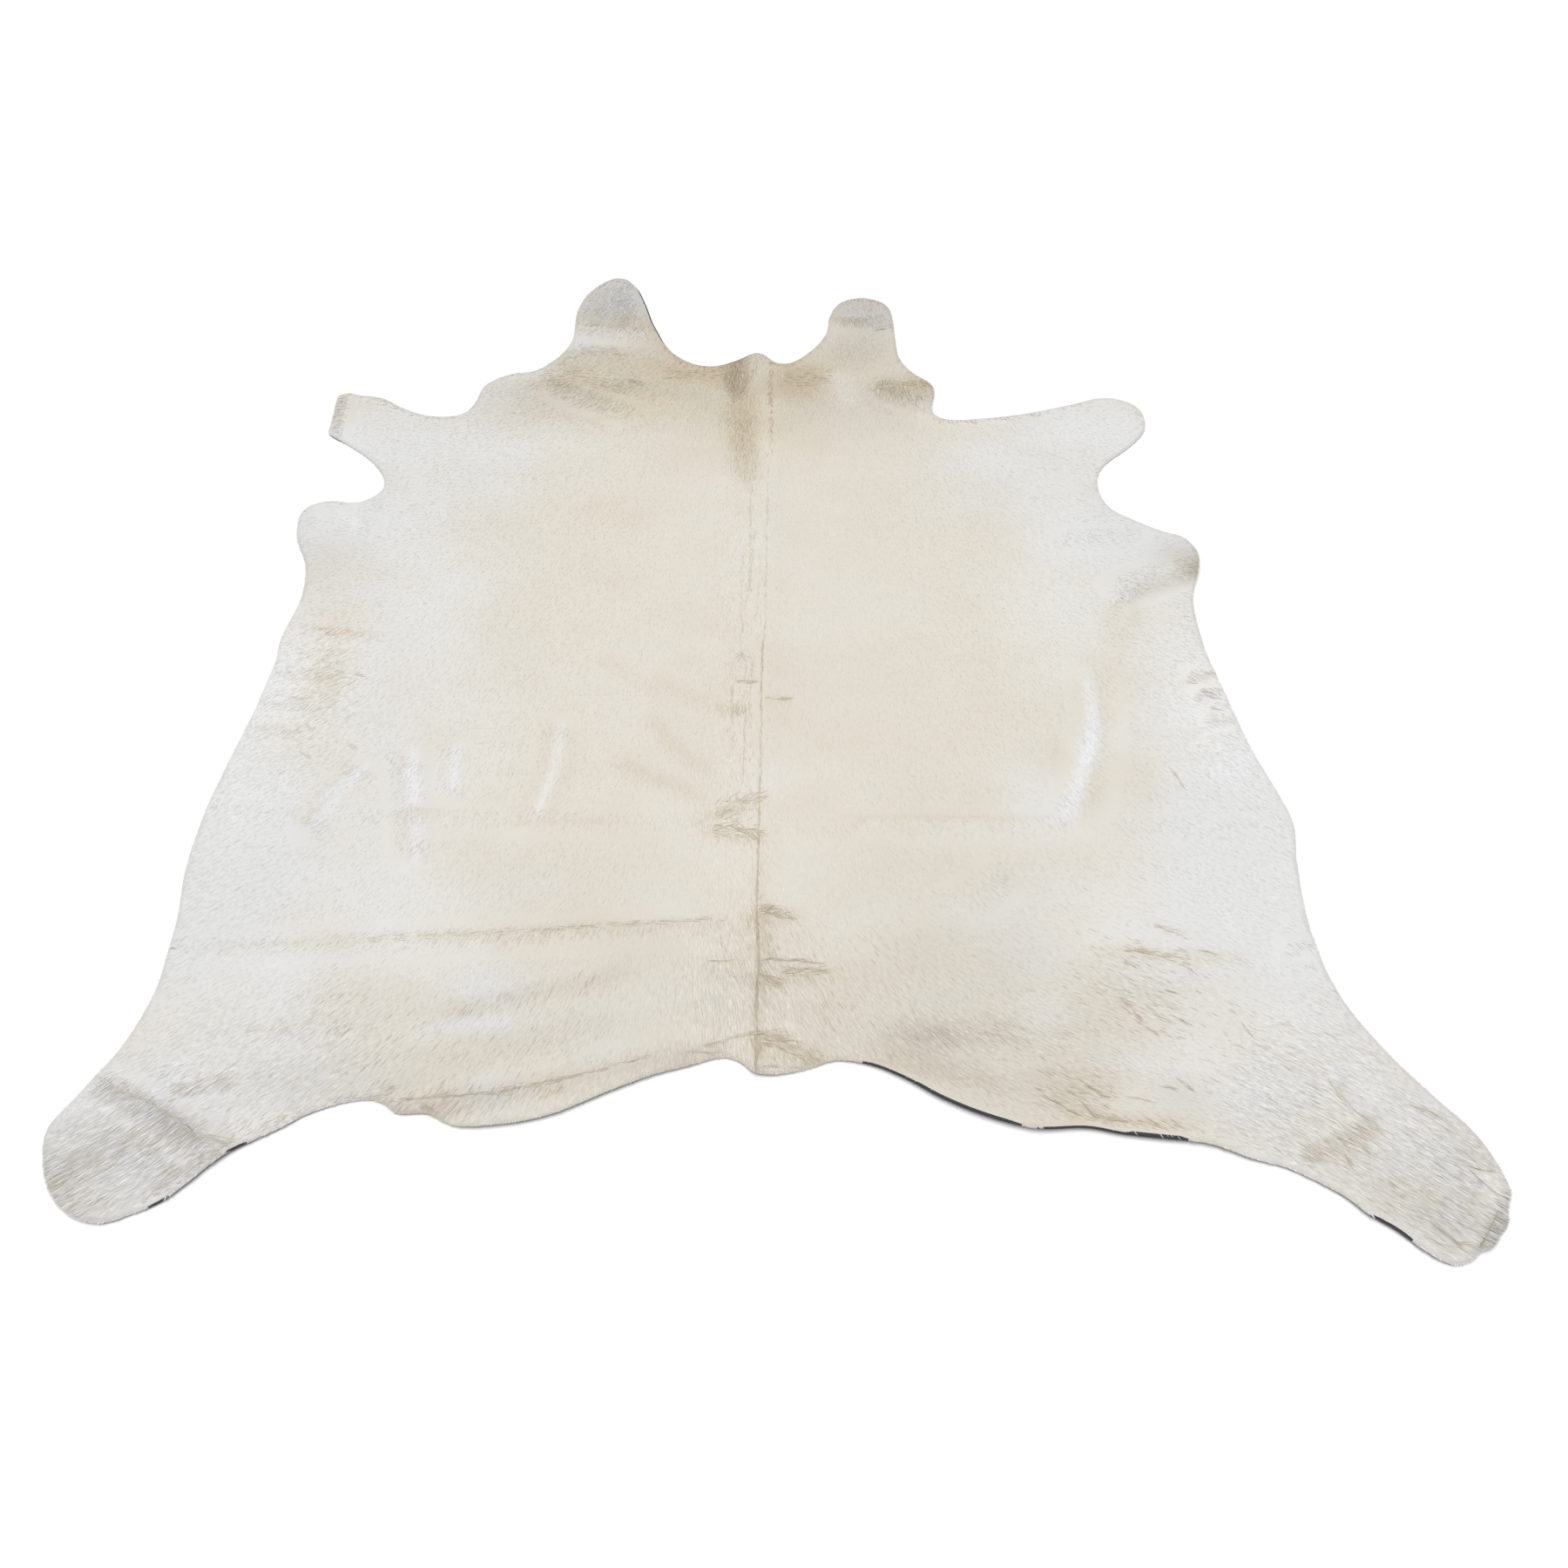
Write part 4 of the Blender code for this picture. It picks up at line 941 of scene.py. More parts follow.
def nap_heading(x, y):
    """The way the hair points, as unit vectors on the floor."""
    ahead = np.zeros((len(x), 2))
    for nap in NAP:
        weight = np.exp(-((x - nap.across) ** 2 + (y - nap.along) ** 2) / (2 * NAP_REACH**2))
        turn = math.radians(nap.heading)
        ahead += np.outer(weight + NAP_EVERYWHERE, (math.sin(turn), -math.cos(turn)))
    return ahead / np.linalg.norm(ahead, axis=1)[:, None]


def added(mark):
    """What a patch, band or shade adds to the coat where it is strongest."""
    return mark.warm, mark.dark, mark.coarse


def coat_at(x, y):
    """Warmth, darkness and coarseness of the coat at each place."""
    side = ease((np.abs(x) - SIDE_FROM) / SIDE_FADE)
    neck = ease((y - NECK_FROM) / NECK_FADE)
    neck = neck * ease((NECK_HALF_WIDTH - np.abs(x)) / NECK_SIDE_FADE)
    rump = ease((RUMP_FROM - y) / RUMP_FADE) * (1 - side)
    coat = np.empty((len(x), 3))
    coat[:, 0] = MIDDLE_WARM + (SIDE_WARM - MIDDLE_WARM) * side + NECK_WARM * neck
    coat[:, 1] = PLAIN_DARK + SIDE_DARK * side + NECK_DARK * neck + RUMP_DARK * rump
    coat[:, 2] = PLAIN_COARSE
    for patch in PATCHES:
        turn = math.radians(patch.turn)
        off_x, off_y = x - patch.across, y - patch.along
        right = (off_x * math.cos(turn) + off_y * math.sin(turn)) / patch.half_width
        ahead = (off_y * math.cos(turn) - off_x * math.sin(turn)) / patch.half_length
        coat += np.outer(bell(np.hypot(right, ahead)), added(patch))
    for band in BANDS:
        coat += np.outer(band_share(band, x, y), added(band))
    for shade in SHADES:
        share, aside = along_and_aside(shade, x, y)
        ends = bell(share * SHADE_RUN - SHADE_RUN / 2)
        fading = np.where(aside > 0, np.exp(-aside / shade.fade), 0.0)
        coat += np.outer(fading * ends, added(shade))
    return coat


class Rim:
    """The hide's cut edge: places about a step apart, and the underside's height at each."""

    def __init__(self, step):
        corners = self.corners_of_solid()
        self.places = self.smooth(corners, step)
        self.tree = kdtree.KDTree(len(self.places))
        for i, place in enumerate(self.places):
            self.tree.insert((place.x, place.y, 0), i)
        self.tree.balance()
        self.widths = self.dark_edge_widths()
        self.lifts = self.lift_alone()

    def corners_of_solid(self):
        """The lower rim of the frame's solid, counterclockwise, without points on its chords."""
        solid = bmesh.new()
        solid.from_mesh(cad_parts["hide"].data)
        bmesh.ops.remove_doubles(solid, verts=solid.verts[:], dist=SAME_PLACE)
        solid.normal_update()
        beside = {}
        for edge in solid.edges:
            slopes = sorted(face.normal.z for face in edge.link_faces)
            if slopes[0] < -UPRIGHT < slopes[-1] < UPRIGHT:
                a, b = edge.verts
                beside.setdefault(a, []).append(b)
                beside.setdefault(b, []).append(a)
        start = next(iter(beside))
        loop, last, here = [start], start, beside[start][0]
        while here is not start:
            loop.append(here)
            last, here = here, next(vert for vert in beside[here] if vert is not last)
        places = [vert.co.copy() for vert in loop]
        solid.free()
        if signed_area(places) < 0:
            places.reverse()
        kept = []
        for before, (place, after) in zip(places[-1:] + places[:-1], looped(places)):
            turn = (place - before).to_2d().angle_signed((after - place).to_2d(), 0)
            if abs(turn) > CHORD_TURN:
                kept.append(place)
        return kept

    def smooth(self, corners, step):
        flat = [Vector((place.x, place.y, 0)) for place in corners]
        count = len(flat)
        headings = []
        for i, place in enumerate(flat):
            ahead = (flat[(i + 1) % count] - place).normalized()
            headings.append((ahead + (place - flat[i - 1]).normalized()).normalized())
        places = []
        for i, start in enumerate(flat):
            after = (i + 1) % count
            reach = (flat[after] - start).length / 3
            steps = max(1, round((flat[after] - start).length / step))
            curve = interpolate_bezier(
                start,
                start + headings[i] * reach,
                flat[after] - headings[after] * reach,
                flat[after],
                steps + 1,
            )
            for number, place in enumerate(curve[:-1]):
                share = number / steps
                place.z = corners[i].z * (1 - share) + corners[after].z * share
                places.append(place)
        return places

    def lift_alone(self):
        """How high the edge stands at each place, less the folds that run out to it."""
        x, y, z = np.array(self.places).T
        return np.maximum(0, z - folded(x, y))

    def nearest(self, x, y):
        _, index, distance = self.tree.find((x, y, 0))
        return index, distance

    def outwards(self, index):
        ahead = self.places[(index + 1) % len(self.places)] - self.places[index - 1]
        return Vector((ahead.y, -ahead.x, 0)).normalized()

    def dark_edge_widths(self):
        """How wide the dark strip shows at each place of the cut edge: charcoal suede, partly
        painted shade.
        """
        sizes = bpy.context.scene.rug_hide
        count = len(self.places)
        widths = np.full(count, sizes.edge_width)
        for dark_edge in DARK_EDGES:
            first = self.nearest(dark_edge.from_across, dark_edge.from_along)[0]
            last = self.nearest(dark_edge.to_across, dark_edge.to_along)[0]
            length = (last - first) % count
            for number in range(length + 1):
                share = number / length
                fade = ease(share / DARK_EDGE_FADE) * ease((1 - share) / DARK_EDGE_FADE)
                width = dark_edge.width * float(fade)
                index = (first + number) % count
                widths[index] = max(widths[index], width)
        return widths

    def holds(self, x, y):
        """Whether each place lies inside the cut edge."""
        inside = np.zeros(len(x), bool)
        for start, end in looped(self.places):
            if start.y == end.y:
                continue
            between = (start.y > y) != (end.y > y)
            crossing = start.x + (y - start.y) * (end.x - start.x) / (end.y - start.y)
            inside ^= between & (x < crossing)
        return inside

    def area(self):
        return signed_area(self.places)


@functools.cache
def cut_edge():
    return Rim(bpy.context.scene.rug_hide.edge_step)


def underside(x, y):
    """Height of the flesh side above the floor."""
    rim = cut_edge()
    lift = np.zeros(len(x))
    for i, place in enumerate(zip(x, y)):
        index, distance = rim.nearest(*place)
        if distance < RIM_CURL:
            lift[i] = rim.lifts[index] * bell(distance / RIM_CURL)
    return lift + folded(x, y)


def thickness(x, y):
    sizes = bpy.context.scene.rug_hide
    parting = (x - spine_across(y)) / sizes.spine_band
    return sizes.leather + sizes.pile + sizes.spine_hair * bell(parting)


def upper_side(x, y):
    return underside(x, y) + thickness(x, y)


def room_for_hair(x, y):
    """How long a lock may be before it reaches past the cut edge by more than the overhang."""
    rim = cut_edge()
    overhang = bpy.context.scene.rug_hair.overhang
    plain = bpy.context.scene.rug_hide.edge_width
    room = np.empty(len(x))
    for i, place in enumerate(zip(x, y)):
        index, distance = rim.nearest(*place)
        width = rim.widths[index]
        dark_edge = max(0.0, (width - plain) / DARK_EDGE_STEP)
        room[i] = distance + overhang * max(0.0, 1 - dark_edge) - DARK_EDGE_KEPT * width * min(1, dark_edge)
    return np.maximum(room, SHORTEST_LOCK)


def coordinates(mesh):
    places = np.empty(len(mesh.vertices) * 3)
    mesh.vertices.foreach_get("co", places)
    return places.reshape(-1, 3)


def put_attribute(mesh, name, values, domain="POINT"):
    kind, key = ("FLOAT", "value") if values.ndim == 1 else ("FLOAT_VECTOR", "vector")
    attribute = mesh.attributes.new(name, kind, domain)
    attribute.data.foreach_set(key, np.ascontiguousarray(values, np.float32).ravel())


def got_attribute(mesh, name):
    data = mesh.attributes[name].data
    values = np.empty(len(data), np.float32)
    data.foreach_get("value", values)
    return values


def level(headings):
    """Headings on the floor as vectors in space."""
    return np.column_stack((headings, np.zeros(len(headings))))


def put_coat(mesh, x, y):
    """Gives the mesh's points what the locks that grow there need to know."""
    warm, dark, coarse = np.clip(coat_at(x, y), COAT_LOW, COAT_HIGH).T
    put_attribute(mesh, "warm", warm)
    put_attribute(mesh, "dark", dark)
    put_attribute(mesh, "coarse", coarse)
    put_attribute(mesh, "room", room_for_hair(x, y))
    put_attribute(mesh, "nap", level(nap_heading(x, y)))
    return coarse


def new_object(name, mesh):
    made = bpy.data.objects.new(name, mesh)
    bpy.context.scene.collection.objects.link(made)
    return made


def cells_inside(rim, cell):
    """A flat grid of cells, those whose middle lies inside the cut edge, finer at creases."""
    wide, long = HIDE_HIGH.x - HIDE_LOW.x, HIDE_HIGH.y - HIDE_LOW.y
    middle = Vector(((HIDE_HIGH.x + HIDE_LOW.x) / 2, (HIDE_HIGH.y + HIDE_LOW.y) / 2, 0))
    grid = bmesh.new()
    bmesh.ops.create_grid(
        grid,
        x_segments=round(wide / cell),
        y_segments=round(long / cell),
        size=1,
        matrix=Matrix.Translation(middle) @ Matrix.Diagonal((wide / 2, long / 2, 1, 1)),
    )
    middles = np.array([face.calc_center_median() for face in grid.faces])
    inside = rim.holds(middles[:, 0], middles[:, 1])
    outer = [face for face, kept in zip(grid.faces, inside) if not kept]
    bmesh.ops.delete(grid, geom=outer, context="FACES")
    middles = np.array([face.calc_center_median() for face in grid.faces])
    near = np.zeros(len(middles), bool)
    for crease in CREASES:
        share, aside = along_and_aside(crease, middles[:, 0], middles[:, 1])
        near |= (share > 0) & (share < 1) & (np.abs(aside) < crease.width / 2)
    edges = {edge for face, fine in zip(grid.faces, near) if fine for edge in face.edges}
    bmesh.ops.subdivide_edges(grid, edges=list(edges), cuts=1, use_grid_fill=True)
    return grid


def fit_to_rim(grid, rim):
    """Moves the grid's outer vertices beside the cut edge, then adds the strip that shows."""
    outer_edges = [edge for edge in grid.edges if edge.is_boundary]
    outer = {vert for edge in outer_edges for vert in edge.verts}
    if len(outer) != len(outer_edges):
        raise RuntimeError("the sheet's edge isn't one plain loop: change the cell size")
    nearest = {vert: rim.nearest(vert.co.x, vert.co.y)[0] for vert in outer}
    for vert, index in nearest.items():
        vert.co = rim.places[index] - rim.outwards(index) * rim.widths[index]
        vert.co.z = 0
    near = {other for vert in outer for edge in vert.link_edges for other in edge.verts}
    for _ in range(EVENED_ROWS):
        near |= {other for vert in near for edge in vert.link_edges for other in edge.verts}
    for _ in range(EVENING_ROUNDS):
        bmesh.ops.smooth_vert(
            grid, verts=list(near - outer), factor=0.5, use_axis_x=True, use_axis_y=True
        )
    strip = bmesh.ops.extrude_edge_only(grid, edges=outer_edges)
    added = [item for item in strip["geom"] if isinstance(item, bmesh.types.BMVert)]
    for vert in added:
        place = rim.places[rim.nearest(vert.co.x, vert.co.y)[0]]
        vert.co = (place.x, place.y, 0)
    return added


def sheet_mesh():
    """The leather with its flattened hair: one closed sheet on the hide's folds."""
    rim = cut_edge()
    sizes = bpy.context.scene.rug_hide
    grid = cells_inside(rim, sizes.cell)
    at_edge = grid.verts.layers.float.new("at_edge")
    on_top = grid.verts.layers.float.new("on_top")
    grows = grid.faces.layers.float.new("grows")
    for vert in fit_to_rim(grid, rim):
        vert[at_edge] = 1.0
    top = bmesh.ops.extrude_face_region(grid, geom=grid.faces[:], use_keep_orig=True)
    for item in top["geom"]:
        if isinstance(item, bmesh.types.BMVert):
            item[on_top] = 1.0
            item.co.z = sizes.leather
    bmesh.ops.recalc_face_normals(grid, faces=grid.faces[:])
    for face in grid.faces:
        beside_edge = any(vert[at_edge] for vert in face.verts)
        middle = face.calc_center_median()
        # The underside, and the top along the dark stretches, take the charcoal suede: on the top
        # it is partly painted shade under the lifted edge.
        dark_edge = rim.widths[rim.nearest(middle.x, middle.y)[0]] > DARK_EDGE_FROM * sizes.edge_width
        suede_face = face.normal.z < -UPRIGHT or (beside_edge and dark_edge)
        face.material_index = 1 if suede_face else 0
        face[grows] = float(face.normal.z > UPRIGHT and not beside_edge)
        face.smooth = True
    mesh = bpy.data.meshes.new("hide_sheet")
    grid.to_mesh(mesh)
    grid.free()
    places = coordinates(mesh)
    x, y = places[:, 0], places[:, 1]
    edge = got_attribute(mesh, "at_edge") > 0
    deep = np.where(edge, EDGE_LEATHER * sizes.leather, thickness(x, y))
    places[:, 2] = underside(x, y) + deep * got_attribute(mesh, "on_top")
    mesh.vertices.foreach_set("co", places.ravel())
    coarse = put_coat(mesh, x, y)
    growth = got_attribute(mesh, "grows")
    middle = np.array([np.mean(coarse[list(face.vertices)]) for face in mesh.polygons])
    put_attribute(mesh, "pile", growth * rising(PILE_GROWTH, middle), "FACE")
    put_attribute(mesh, "rough", growth * middle**2, "FACE")
    mesh.update()
    return mesh


def hair_colour(tree, warm, light):
    """Cool white to cream to beige by warmth, and umber where there is little light."""
    colours = bpy.context.scene.rug_colours
    stops = (
        (0.05, colours.cool),
        (0.35, colours.cream),
        (0.55, colours.rosy),
        (0.72, colours.straw),
        (0.95, colours.beige),
    )
    hue = tree.node("ShaderNodeValToRGB", {"stops": stops}, {"Fac": warm})
    factor, from_colour, to_colour, mixed = 0, 6, 7, 2
    inputs = {factor: tree.clamped(light), from_colour: (*colours.umber, 1), to_colour: hue}
    return tree.node("ShaderNodeMix", {"data_type": "RGBA"}, inputs, mixed)


def new_finish(name, roughness):
    material = bpy.data.materials.new(name)
    material.use_nodes = True
    shader = material.node_tree.nodes["Principled BSDF"]
    shader.inputs["Roughness"].default_value = roughness
    return material, Tree(material.node_tree), shader


def finish_with(tree, shader, colour, grain, strength):
    """Feeds the shader its colour, and its grain as a shallow bump."""
    tree.feed(shader.inputs["Base Color"], colour)
    bump = {"Strength": strength, "Distance": GRAIN_DEPTH, "Height": grain}
    tree.feed(shader.inputs["Normal"], tree.node("ShaderNodeBump", None, bump))


def flattened_hair_finish():
    """The hair that lies flat under the locks, in soft streaks down the hide."""
    material, tree, shader = new_finish("flattened_hair", roughness=0.6)
    place = tree.node("ShaderNodeTexCoord", None, None, "Object")
    stretch = {"Vector": place, "Scale": STREAK_STRETCH}
    streaks = tree.noise(tree.node("ShaderNodeMapping", None, stretch), STREAK_SCALE)
    clouds = tree.clouds(place)
    coarse = tree.attribute("coarse")
    warm = tree.attribute("warm") + CLOUD_SWING * clouds
    # Darker where the coat is coarse: painted shade between the locks there.
    light = PLAIN_LIGHT - tree.attribute("dark") - COARSE_SHADE * coarse - CLOUD_SHADE * clouds
    light = light - rising(STREAK_SHADE, coarse) * (1 - streaks)
    finish_with(tree, shader, hair_colour(tree, warm, light), streaks, strength=0.15)
    return material


def leather_finish():
    """Matt charcoal suede."""
    material, tree, shader = new_finish("charcoal_suede", roughness=0.9)
    colours = bpy.context.scene.rug_colours
    place = tree.node("ShaderNodeTexCoord", None, None, "Object")
    nap = tree.noise(place, SUEDE_SCALE, 4)
    paler = tuple(SUEDE_PALER * part for part in colours.charcoal)
    stops = ((0.3, colours.charcoal), (0.75, paler))
    colour = tree.node("ShaderNodeValToRGB", {"stops": stops}, {"Fac": nap})
    finish_with(tree, shader, colour, nap, strength=0.4)
    return material


def lock_finish():
    """Cream hair. Each lock's own map holds its warmth across and its light upwards."""
    material, tree, shader = new_finish("cream_locks", roughness=0.55)
    tone = tree.node("ShaderNodeUVMap", {"uv_map": TONES})
    warm = tree.node("ShaderNodeSeparateXYZ", None, {"Vector": tone}, "X")
    light = tree.node("ShaderNodeSeparateXYZ", None, {"Vector": tone}, "Y")
    tree.feed(shader.inputs["Base Color"], hair_colour(tree, warm, light))
    return material


def lock_shape():
    """A sliver of hair one unit long, wide and deep, from its root at the origin towards +X."""
    widest, half_width, root_depth, quarter = 0.4, 0.5, 0.2, math.radians(90)
    shape = bmesh.new()
    bmesh.ops.create_cone(
        shape,
        cap_ends=True,
        segments=3,
        radius1=half_width,
        radius2=0,
        depth=1,
        matrix=Matrix.Rotation(quarter, 4, "Y") @ Matrix.Rotation(quarter, 4, "Z"),
    )
    *base, tip = sorted(shape.verts, key=lambda vert: vert.co.x)
    left, root, right = sorted(base, key=lambda vert: vert.co.y)
    tip.co = (1, 0, 0)
    root.co = (0, 0, -root_depth)
    left.co = (widest, -half_width, -1)
    right.co = (widest, half_width, -1)
    bmesh.ops.recalc_face_normals(shape, faces=shape.faces[:])
    tones = shape.loops.layers.uv.new(TONES)
    for face in shape.faces:
        face.smooth = True
        for corner in face.loops:
            corner[tones].uv = (corner.vert.co.y * TONE_WIDTH, corner.vert.co.x)
    for edge in shape.edges:
        up, down = sorted(face.normal.z for face in edge.link_faces)
        edge.smooth = up * down > 0
    mesh = bpy.data.meshes.new("lock_shape")
    shape.to_mesh(mesh)
    shape.free()
    return mesh


def lock_lie(tree, layer, up, coarse, sway):
    """Each lock's turn: along the nap, swayed aside, and off the hide at its tip."""
    sizes = bpy.context.scene.rug_hair
    lie = tree.node(
        "FunctionNodeAxesToRotation",
        {"primary_axis": "Z", "secondary_axis": "X"},
        {"Primary Axis": up, "Secondary Axis": tree.read("nap", "FLOAT_VECTOR")},
    )
    rise = layer.lift * rising(Rising(sizes.lift, sizes.coarse_lift), coarse)
    rise = rise + rising(LOCK_RISE, coarse) * tree.chance(*RISES, 2)
    return tree.turned(tree.turned(lie, (0, 0, 1), sway), (0, 1, 0), 0 - rise)


def lock_scale(tree, layer, coarse, gap):
    """Each lock's length, kept within its room, and its width and thickness."""
    sizes = bpy.context.scene.rug_hair
    length = tree.chance(*LENGTHS, 3) * (sizes.length * layer.length)
    width = tree.chance(*WIDTHS, 4) * (sizes.width * layer.width)
    return tree.vector(
        tree.maths("MINIMUM", length * rising(LOCK_LENGTH, coarse), tree.read("room")),
        width * rising(LOCK_WIDTH, coarse) * (1 - GAP_NARROWER * gap),
        rising(Rising(sizes.thickness, sizes.coarse_thickness), coarse),
    )


def lock_tone(tree, place, clump, coarse, gap):
    """Each lock's warmth and darkness, and how coarse it is."""
    clouds = tree.clouds(place)
    warm = tree.read("warm") + rising(LOCK_WARMTH, coarse) * tree.chance(*WARMTHS, 5)
    warm = warm + CLOUD_SWING * clouds + GAP_WARMTH * coarse * gap
    dark = tree.read("dark") * tree.chance(*DARKNESSES, 6)
    dark = dark + rising(LOCK_SHADE, coarse) * tree.chance(-1, 1, 8)
    dark = dark + CLUMP_SHADE * (clump - 0.5) + CLOUD_SHADE * clouds
    # Painted shade: the few gap locks are darker, and the other coarse locks lighter to offset
    # them.
    dark = dark + GAP_SHADE * coarse * gap - COARSE_LIGHT * coarse
    return tree.vector(warm, dark, coarse)


def corner_tones(tree):
    """What each corner's map holds: its lock's warmth, and its light from root to tip."""
    own = tree.read(TONES, "FLOAT_VECTOR")
    tone = tree.read("tone", "FLOAT_VECTOR")
    # Painted shade towards each lock's root.
    root = rising(ROOT_SHADE, tree.part(tone, "Z")) * (1 - tree.part(own, "Y"))
    warm = tree.clamped(tree.part(tone, "X"), *WARM_LIMITS)
    light = tree.clamped(PLAIN_LIGHT + LOCK_LIGHTER - tree.part(tone, "Y"), *LIGHT_LIMITS)
    return tree.vector(warm + tree.part(own, "X"), light - root, 0)


def grown(layer, source, shape, density=None):
    """A mesh of locks along the nap: strewn over the source's faces, or one on each point."""
    tree = LockTree(layer)
    surface = tree.mesh_of(source)
    place = tree.node("GeometryNodeInputPosition")
    clump = tree.noise(place, CLUMP_SCALE, 1)
    coarse = tree.read("coarse")
    # How much each lock stands for a shaded gap of the coarse coat: painted shade.
    gap = tree.maths("POWER", tree.chance(0, 1, 9), GAP_RARITY)
    if density:
        thickly = tree.read(layer.growth) * density
        spread = {"Mesh": surface, "Density": thickly, "Seed": layer.seed}
        points = tree.node("GeometryNodeDistributePointsOnFaces", None, spread)
        up = Socket(tree, points.output.node.outputs["Normal"])
        sway = (clump - 0.5) * CLUMP_SWAY + tree.chance(*SWAYS, 1)
        sway = rising(LOCK_SWAY, coarse) * sway
    else:
        points = tree.node("GeometryNodeMeshToPoints", None, {"Mesh": surface})
        up = tree.read("up", "FLOAT_VECTOR")
        sway = tree.read("sway") * tree.chance(-1, 1, 7)
    each = {
        "Points": points,
        "Instance": tree.mesh_of(shape),
        "Rotation": lock_lie(tree, layer, up, coarse, sway),
        "Scale": lock_scale(tree, layer, coarse, gap),
    }
    locks = tree.node("GeometryNodeInstanceOnPoints", None, each)
    tone = lock_tone(tree, place, clump, coarse, gap)
    locks = tree.store(locks, "tone", "FLOAT_VECTOR", "INSTANCE", tone)
    locks = tree.node("GeometryNodeRealizeInstances", None, {"Geometry": locks})
    locks = tree.store(locks, TONES, "FLOAT2", "CORNER", corner_tones(tree))
    mesh = tree.mesh(locks, layer.name)
    for name in [item.name for item in mesh.attributes if item.name in POINT_DATA]:
        mesh.attributes.remove(mesh.attributes[name])
    return mesh


def strewn_points(x, y, sway, lift, **own):
    """A mesh of loose points over the hide's upper side, for one lock each, with own values."""
    heights = upper_side(x, y)
    to_right = upper_side(x + SLOPE_STEP, y) - heights
    to_ahead = upper_side(x, y + SLOPE_STEP) - heights
    points = bmesh.new()
    for place in zip(x, y, heights + lift):
        points.verts.new(place)
    mesh = bpy.data.meshes.new("strewn_points")
    points.to_mesh(mesh)
    points.free()
    put_coat(mesh, x, y)
    up = (-to_right / SLOPE_STEP, -to_ahead / SLOPE_STEP, np.ones(len(x)))
    put_attribute(mesh, "up", np.column_stack(up))
    put_attribute(mesh, "sway", sway)
    for name, values in own.items():
        mesh.attributes.remove(mesh.attributes[name])
        put_attribute(mesh, name, values)
    return mesh


def stroke_points():
    """Where the locks of partings and stains stand, and those of painted shadow in creases and
    painted highlight on crests.
    """
    chances = np.random.default_rng(STROKE_SEED)
    strewn = []
    for stroke in STROKES + CREASE_LINES:
        share = chances.random(stroke.locks)
        aside = chances.normal(0, stroke.spread, stroke.locks) + bowed(stroke, share)
        run = Vector((stroke.to_across - stroke.from_across, stroke.to_along - stroke.from_along))
        ahead = run.normalized()
        columns = (
            stroke.from_across + run.x * share + ahead.y * aside,
            stroke.from_along + run.y * share - ahead.x * aside,
            np.full(stroke.locks, stroke.warm),
            stroke.dark * chances.uniform(*DARKNESSES, stroke.locks),
            np.full(stroke.locks, math.radians(stroke.sway)),
            np.full((stroke.locks, 2), ahead if stroke in CREASE_LINES else 0.0),
        )
        strewn.append(columns)
    x, y, warm, dark, sway, own_nap = (np.concatenate(column) for column in zip(*strewn))
    follows = np.abs(own_nap).sum(axis=1) == 0
    nap = np.where(follows[:, None], nap_heading(x, y), own_nap)
    coat = coat_at(x, y)
    dark += coat[:, 1]
    lift = rising(STROKE_LIFT, coat[:, 2])
    kept = cut_edge().holds(x, y)
    own = {"warm": warm[kept], "dark": dark[kept], "nap": level(nap[kept])}
    return strewn_points(x[kept], y[kept], sway[kept], lift[kept], **own)


def fringe_points():
    """Where the hair at the cut edge stands, leaning out over it."""
    rim = cut_edge()
    sizes = bpy.context.scene.rug_hair
    chances = np.random.default_rng(FRINGE_SEED)
    index = chances.integers(0, len(rim.places), sizes.fringe)
    outwards = np.array([rim.outwards(i).to_2d() for i in index])
    edge = np.array(rim.places)[index, :2]
    widths = rim.widths[index]
    back = widths + chances.uniform(*FRINGE_ROOTS, sizes.fringe)
    x, y = (edge - outwards * back[:, None]).T
    nap = nap_heading(x, y) + FRINGE_LEAN * outwards
    nap /= np.linalg.norm(nap, axis=1)[:, None]
    out = np.sum(nap * outwards, axis=1)
    crossings = np.where(widths < CROSSED_WIDTH, 1, (widths - WIDE_EDGE) / WIDE_CROSSINGS)
    crosses = chances.random(sizes.fringe) < crossings
    reach = np.where(crosses, back + sizes.overhang * chances.random(sizes.fringe), back - widths)
    room = np.where(out > LEANS_OUT, reach / np.maximum(out, LEAST_LEAN), FRINGE_LENGTH)
    sway = np.full(sizes.fringe, FRINGE_SWAY)
    return strewn_points(x, y, sway, 0, room=room, nap=level(nap))


def add_locks(layer, source, shape, finish, density=None):
    mesh = grown(layer, source, shape, density)
    if not mesh.polygons:
        raise RuntimeError(f"{layer.name} came out empty")
    mesh.materials.clear()
    mesh.materials.append(finish)
    piece = new_object(layer.name, mesh)
    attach(piece, "root")


class RUG_OT_sheet(bpy.types.Operator):
    """Lay the leather with its flattened hair"""

    bl_idname = "rug.sheet"
    bl_label = "Hide Sheet"

    def execute(self, context):
        mesh = sheet_mesh()
        mesh.materials.append(flattened_hair_finish())
        mesh.materials.append(leather_finish())
        sheet = new_object("hide_sheet", mesh)
        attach(sheet, "root")
        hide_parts("hide")
        return {"FINISHED"}


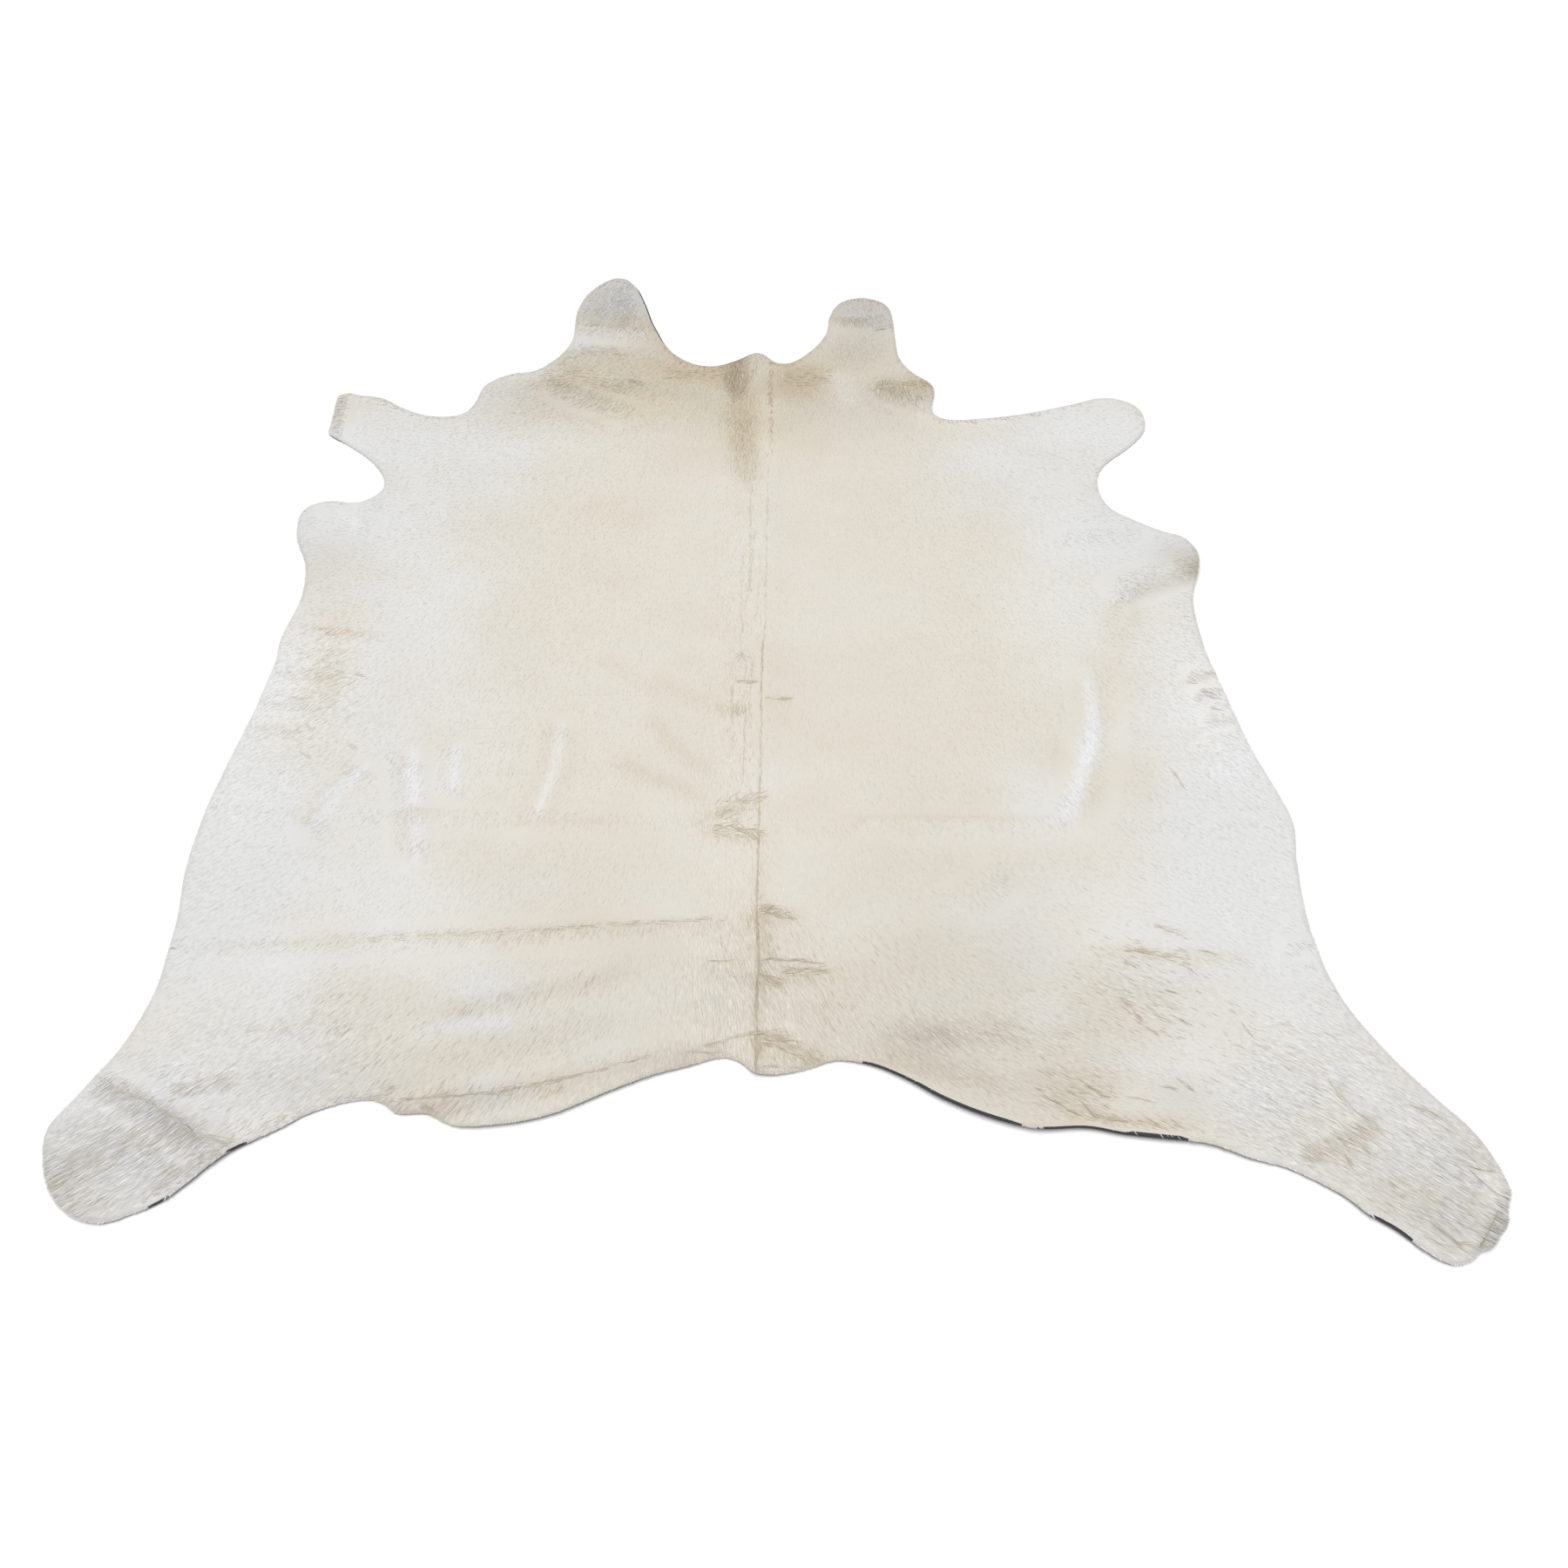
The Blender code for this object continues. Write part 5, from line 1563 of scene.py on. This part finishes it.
class RUG_OT_coat(bpy.types.Operator):
    """Lay the layers of locks along the nap, the darker locks of partings, and the locks of
    painted shadow in creases and painted highlight on crests
    """

    bl_idname = "rug.coat"
    bl_label = "Coat of Locks"

    def execute(self, context):
        sheet = bpy.data.objects["hide_sheet"]
        shape = new_object("lock_shape", lock_shape())
        finish = lock_finish()
        sizes = context.scene.rug_hair
        areas = np.array([face.area for face in sheet.data.polygons])
        for layer in LAYERS:
            growth = got_attribute(sheet.data, layer.growth)
            locks = sizes.locks if layer.growth == "pile" else sizes.coarse_locks
            add_locks(layer, sheet, shape, finish, locks / float(growth @ areas))
        for layer, mesh in ((LINES, stroke_points()), (FRINGE, fringe_points())):
            points = new_object("points", mesh)
            add_locks(layer, points, shape, finish)
            bpy.data.objects.remove(points)
        bpy.data.objects.remove(shape)
        return {"FINISHED"}


class RUG_OT_stage(bpy.types.Operator):
    """Set the floor, the soft lights and the camera"""

    bl_idname = "rug.stage"
    bl_label = "Stage"

    def execute(self, context):
        sizes = context.scene.rug_stage
        self.add_floor(sizes)
        self.add_lights(sizes)
        self.add_camera(context, sizes)
        context.scene.view_settings.view_transform = "Standard"
        return {"FINISHED"}

    def add_floor(self, sizes):
        shape = bmesh.new()
        bmesh.ops.create_grid(shape, x_segments=1, y_segments=1, size=FLOOR_HALF)
        mesh = bpy.data.meshes.new("floor")
        shape.to_mesh(mesh)
        shape.free()
        material, _, shader = new_finish("floor", roughness=0.8)
        shader.inputs["Base Color"].default_value = (*sizes.floor, 1)
        shader.inputs["Specular IOR Level"].default_value = 0.0
        mesh.materials.append(material)
        floor = new_object("floor", mesh)
        floor.location.z = -FLOOR_DROP

    def add_lights(self, sizes):
        world = bpy.data.worlds.new("studio")
        world.use_nodes = True
        sky = world.node_tree.nodes["Background"]
        sky.inputs["Color"].default_value = (1, 1, 1, 1)
        sky.inputs["Strength"].default_value = sizes.sky
        bpy.context.scene.world = world
        light = bpy.data.lights.new("key", "SUN")
        light.energy = sizes.key
        light.angle = sizes.key_softness
        key = new_object("key", light)
        key.location = KEY_PLACE
        key.rotation_euler = (-key.location).to_track_quat("-Z", "Y").to_euler()

    def add_camera(self, context, sizes):
        data = bpy.data.cameras.new("camera")
        data.lens = sizes.lens
        data.sensor_width = SENSOR_WIDTH
        camera = new_object("camera", data)
        camera.location = (sizes.eye_across, -sizes.eye_back, sizes.eye_height)
        camera.rotation_euler = (math.radians(90) - sizes.pitch, 0, 0)
        context.scene.camera = camera


class RUG_PT_panel(bpy.types.Panel):
    """Buttons for each group of pieces, and their sizes and colours"""

    bl_idname = "RUG_PT_panel"
    bl_label = "Cowhide Rug"
    bl_space_type = "VIEW_3D"
    bl_region_type = "UI"
    bl_category = "Rug"

    def draw(self, context):
        for operator in OPERATORS:
            self.layout.operator(operator.bl_idname)
        for name in GROUPS:
            group = getattr(context.scene, name)
            for value in group.__annotations__:
                self.layout.prop(group, value)


OPERATORS = (RUG_OT_sheet, RUG_OT_coat, RUG_OT_stage)
GROUPS = {
    "rug_hide": HideSizes,
    "rug_hair": HairSizes,
    "rug_colours": HideColours,
    "rug_stage": StageSizes,
}


def register():
    for kind in (*GROUPS.values(), *OPERATORS, RUG_PT_panel):
        bpy.utils.register_class(kind)
    for name, kind in GROUPS.items():
        setattr(bpy.types.Scene, name, PointerProperty(type=kind))


def unregister():
    for name in GROUPS:
        delattr(bpy.types.Scene, name)
    for kind in (RUG_PT_panel, *reversed(OPERATORS), *reversed(GROUPS.values())):
        bpy.utils.unregister_class(kind)


def declare_sheet():
    cut_edge().area()


def main():
    register()
    bpy.ops.rug.sheet()
    bpy.ops.rug.coat()
    bpy.ops.rug.stage()
    declare_sheet()


if __name__ == "__main__":
    main()
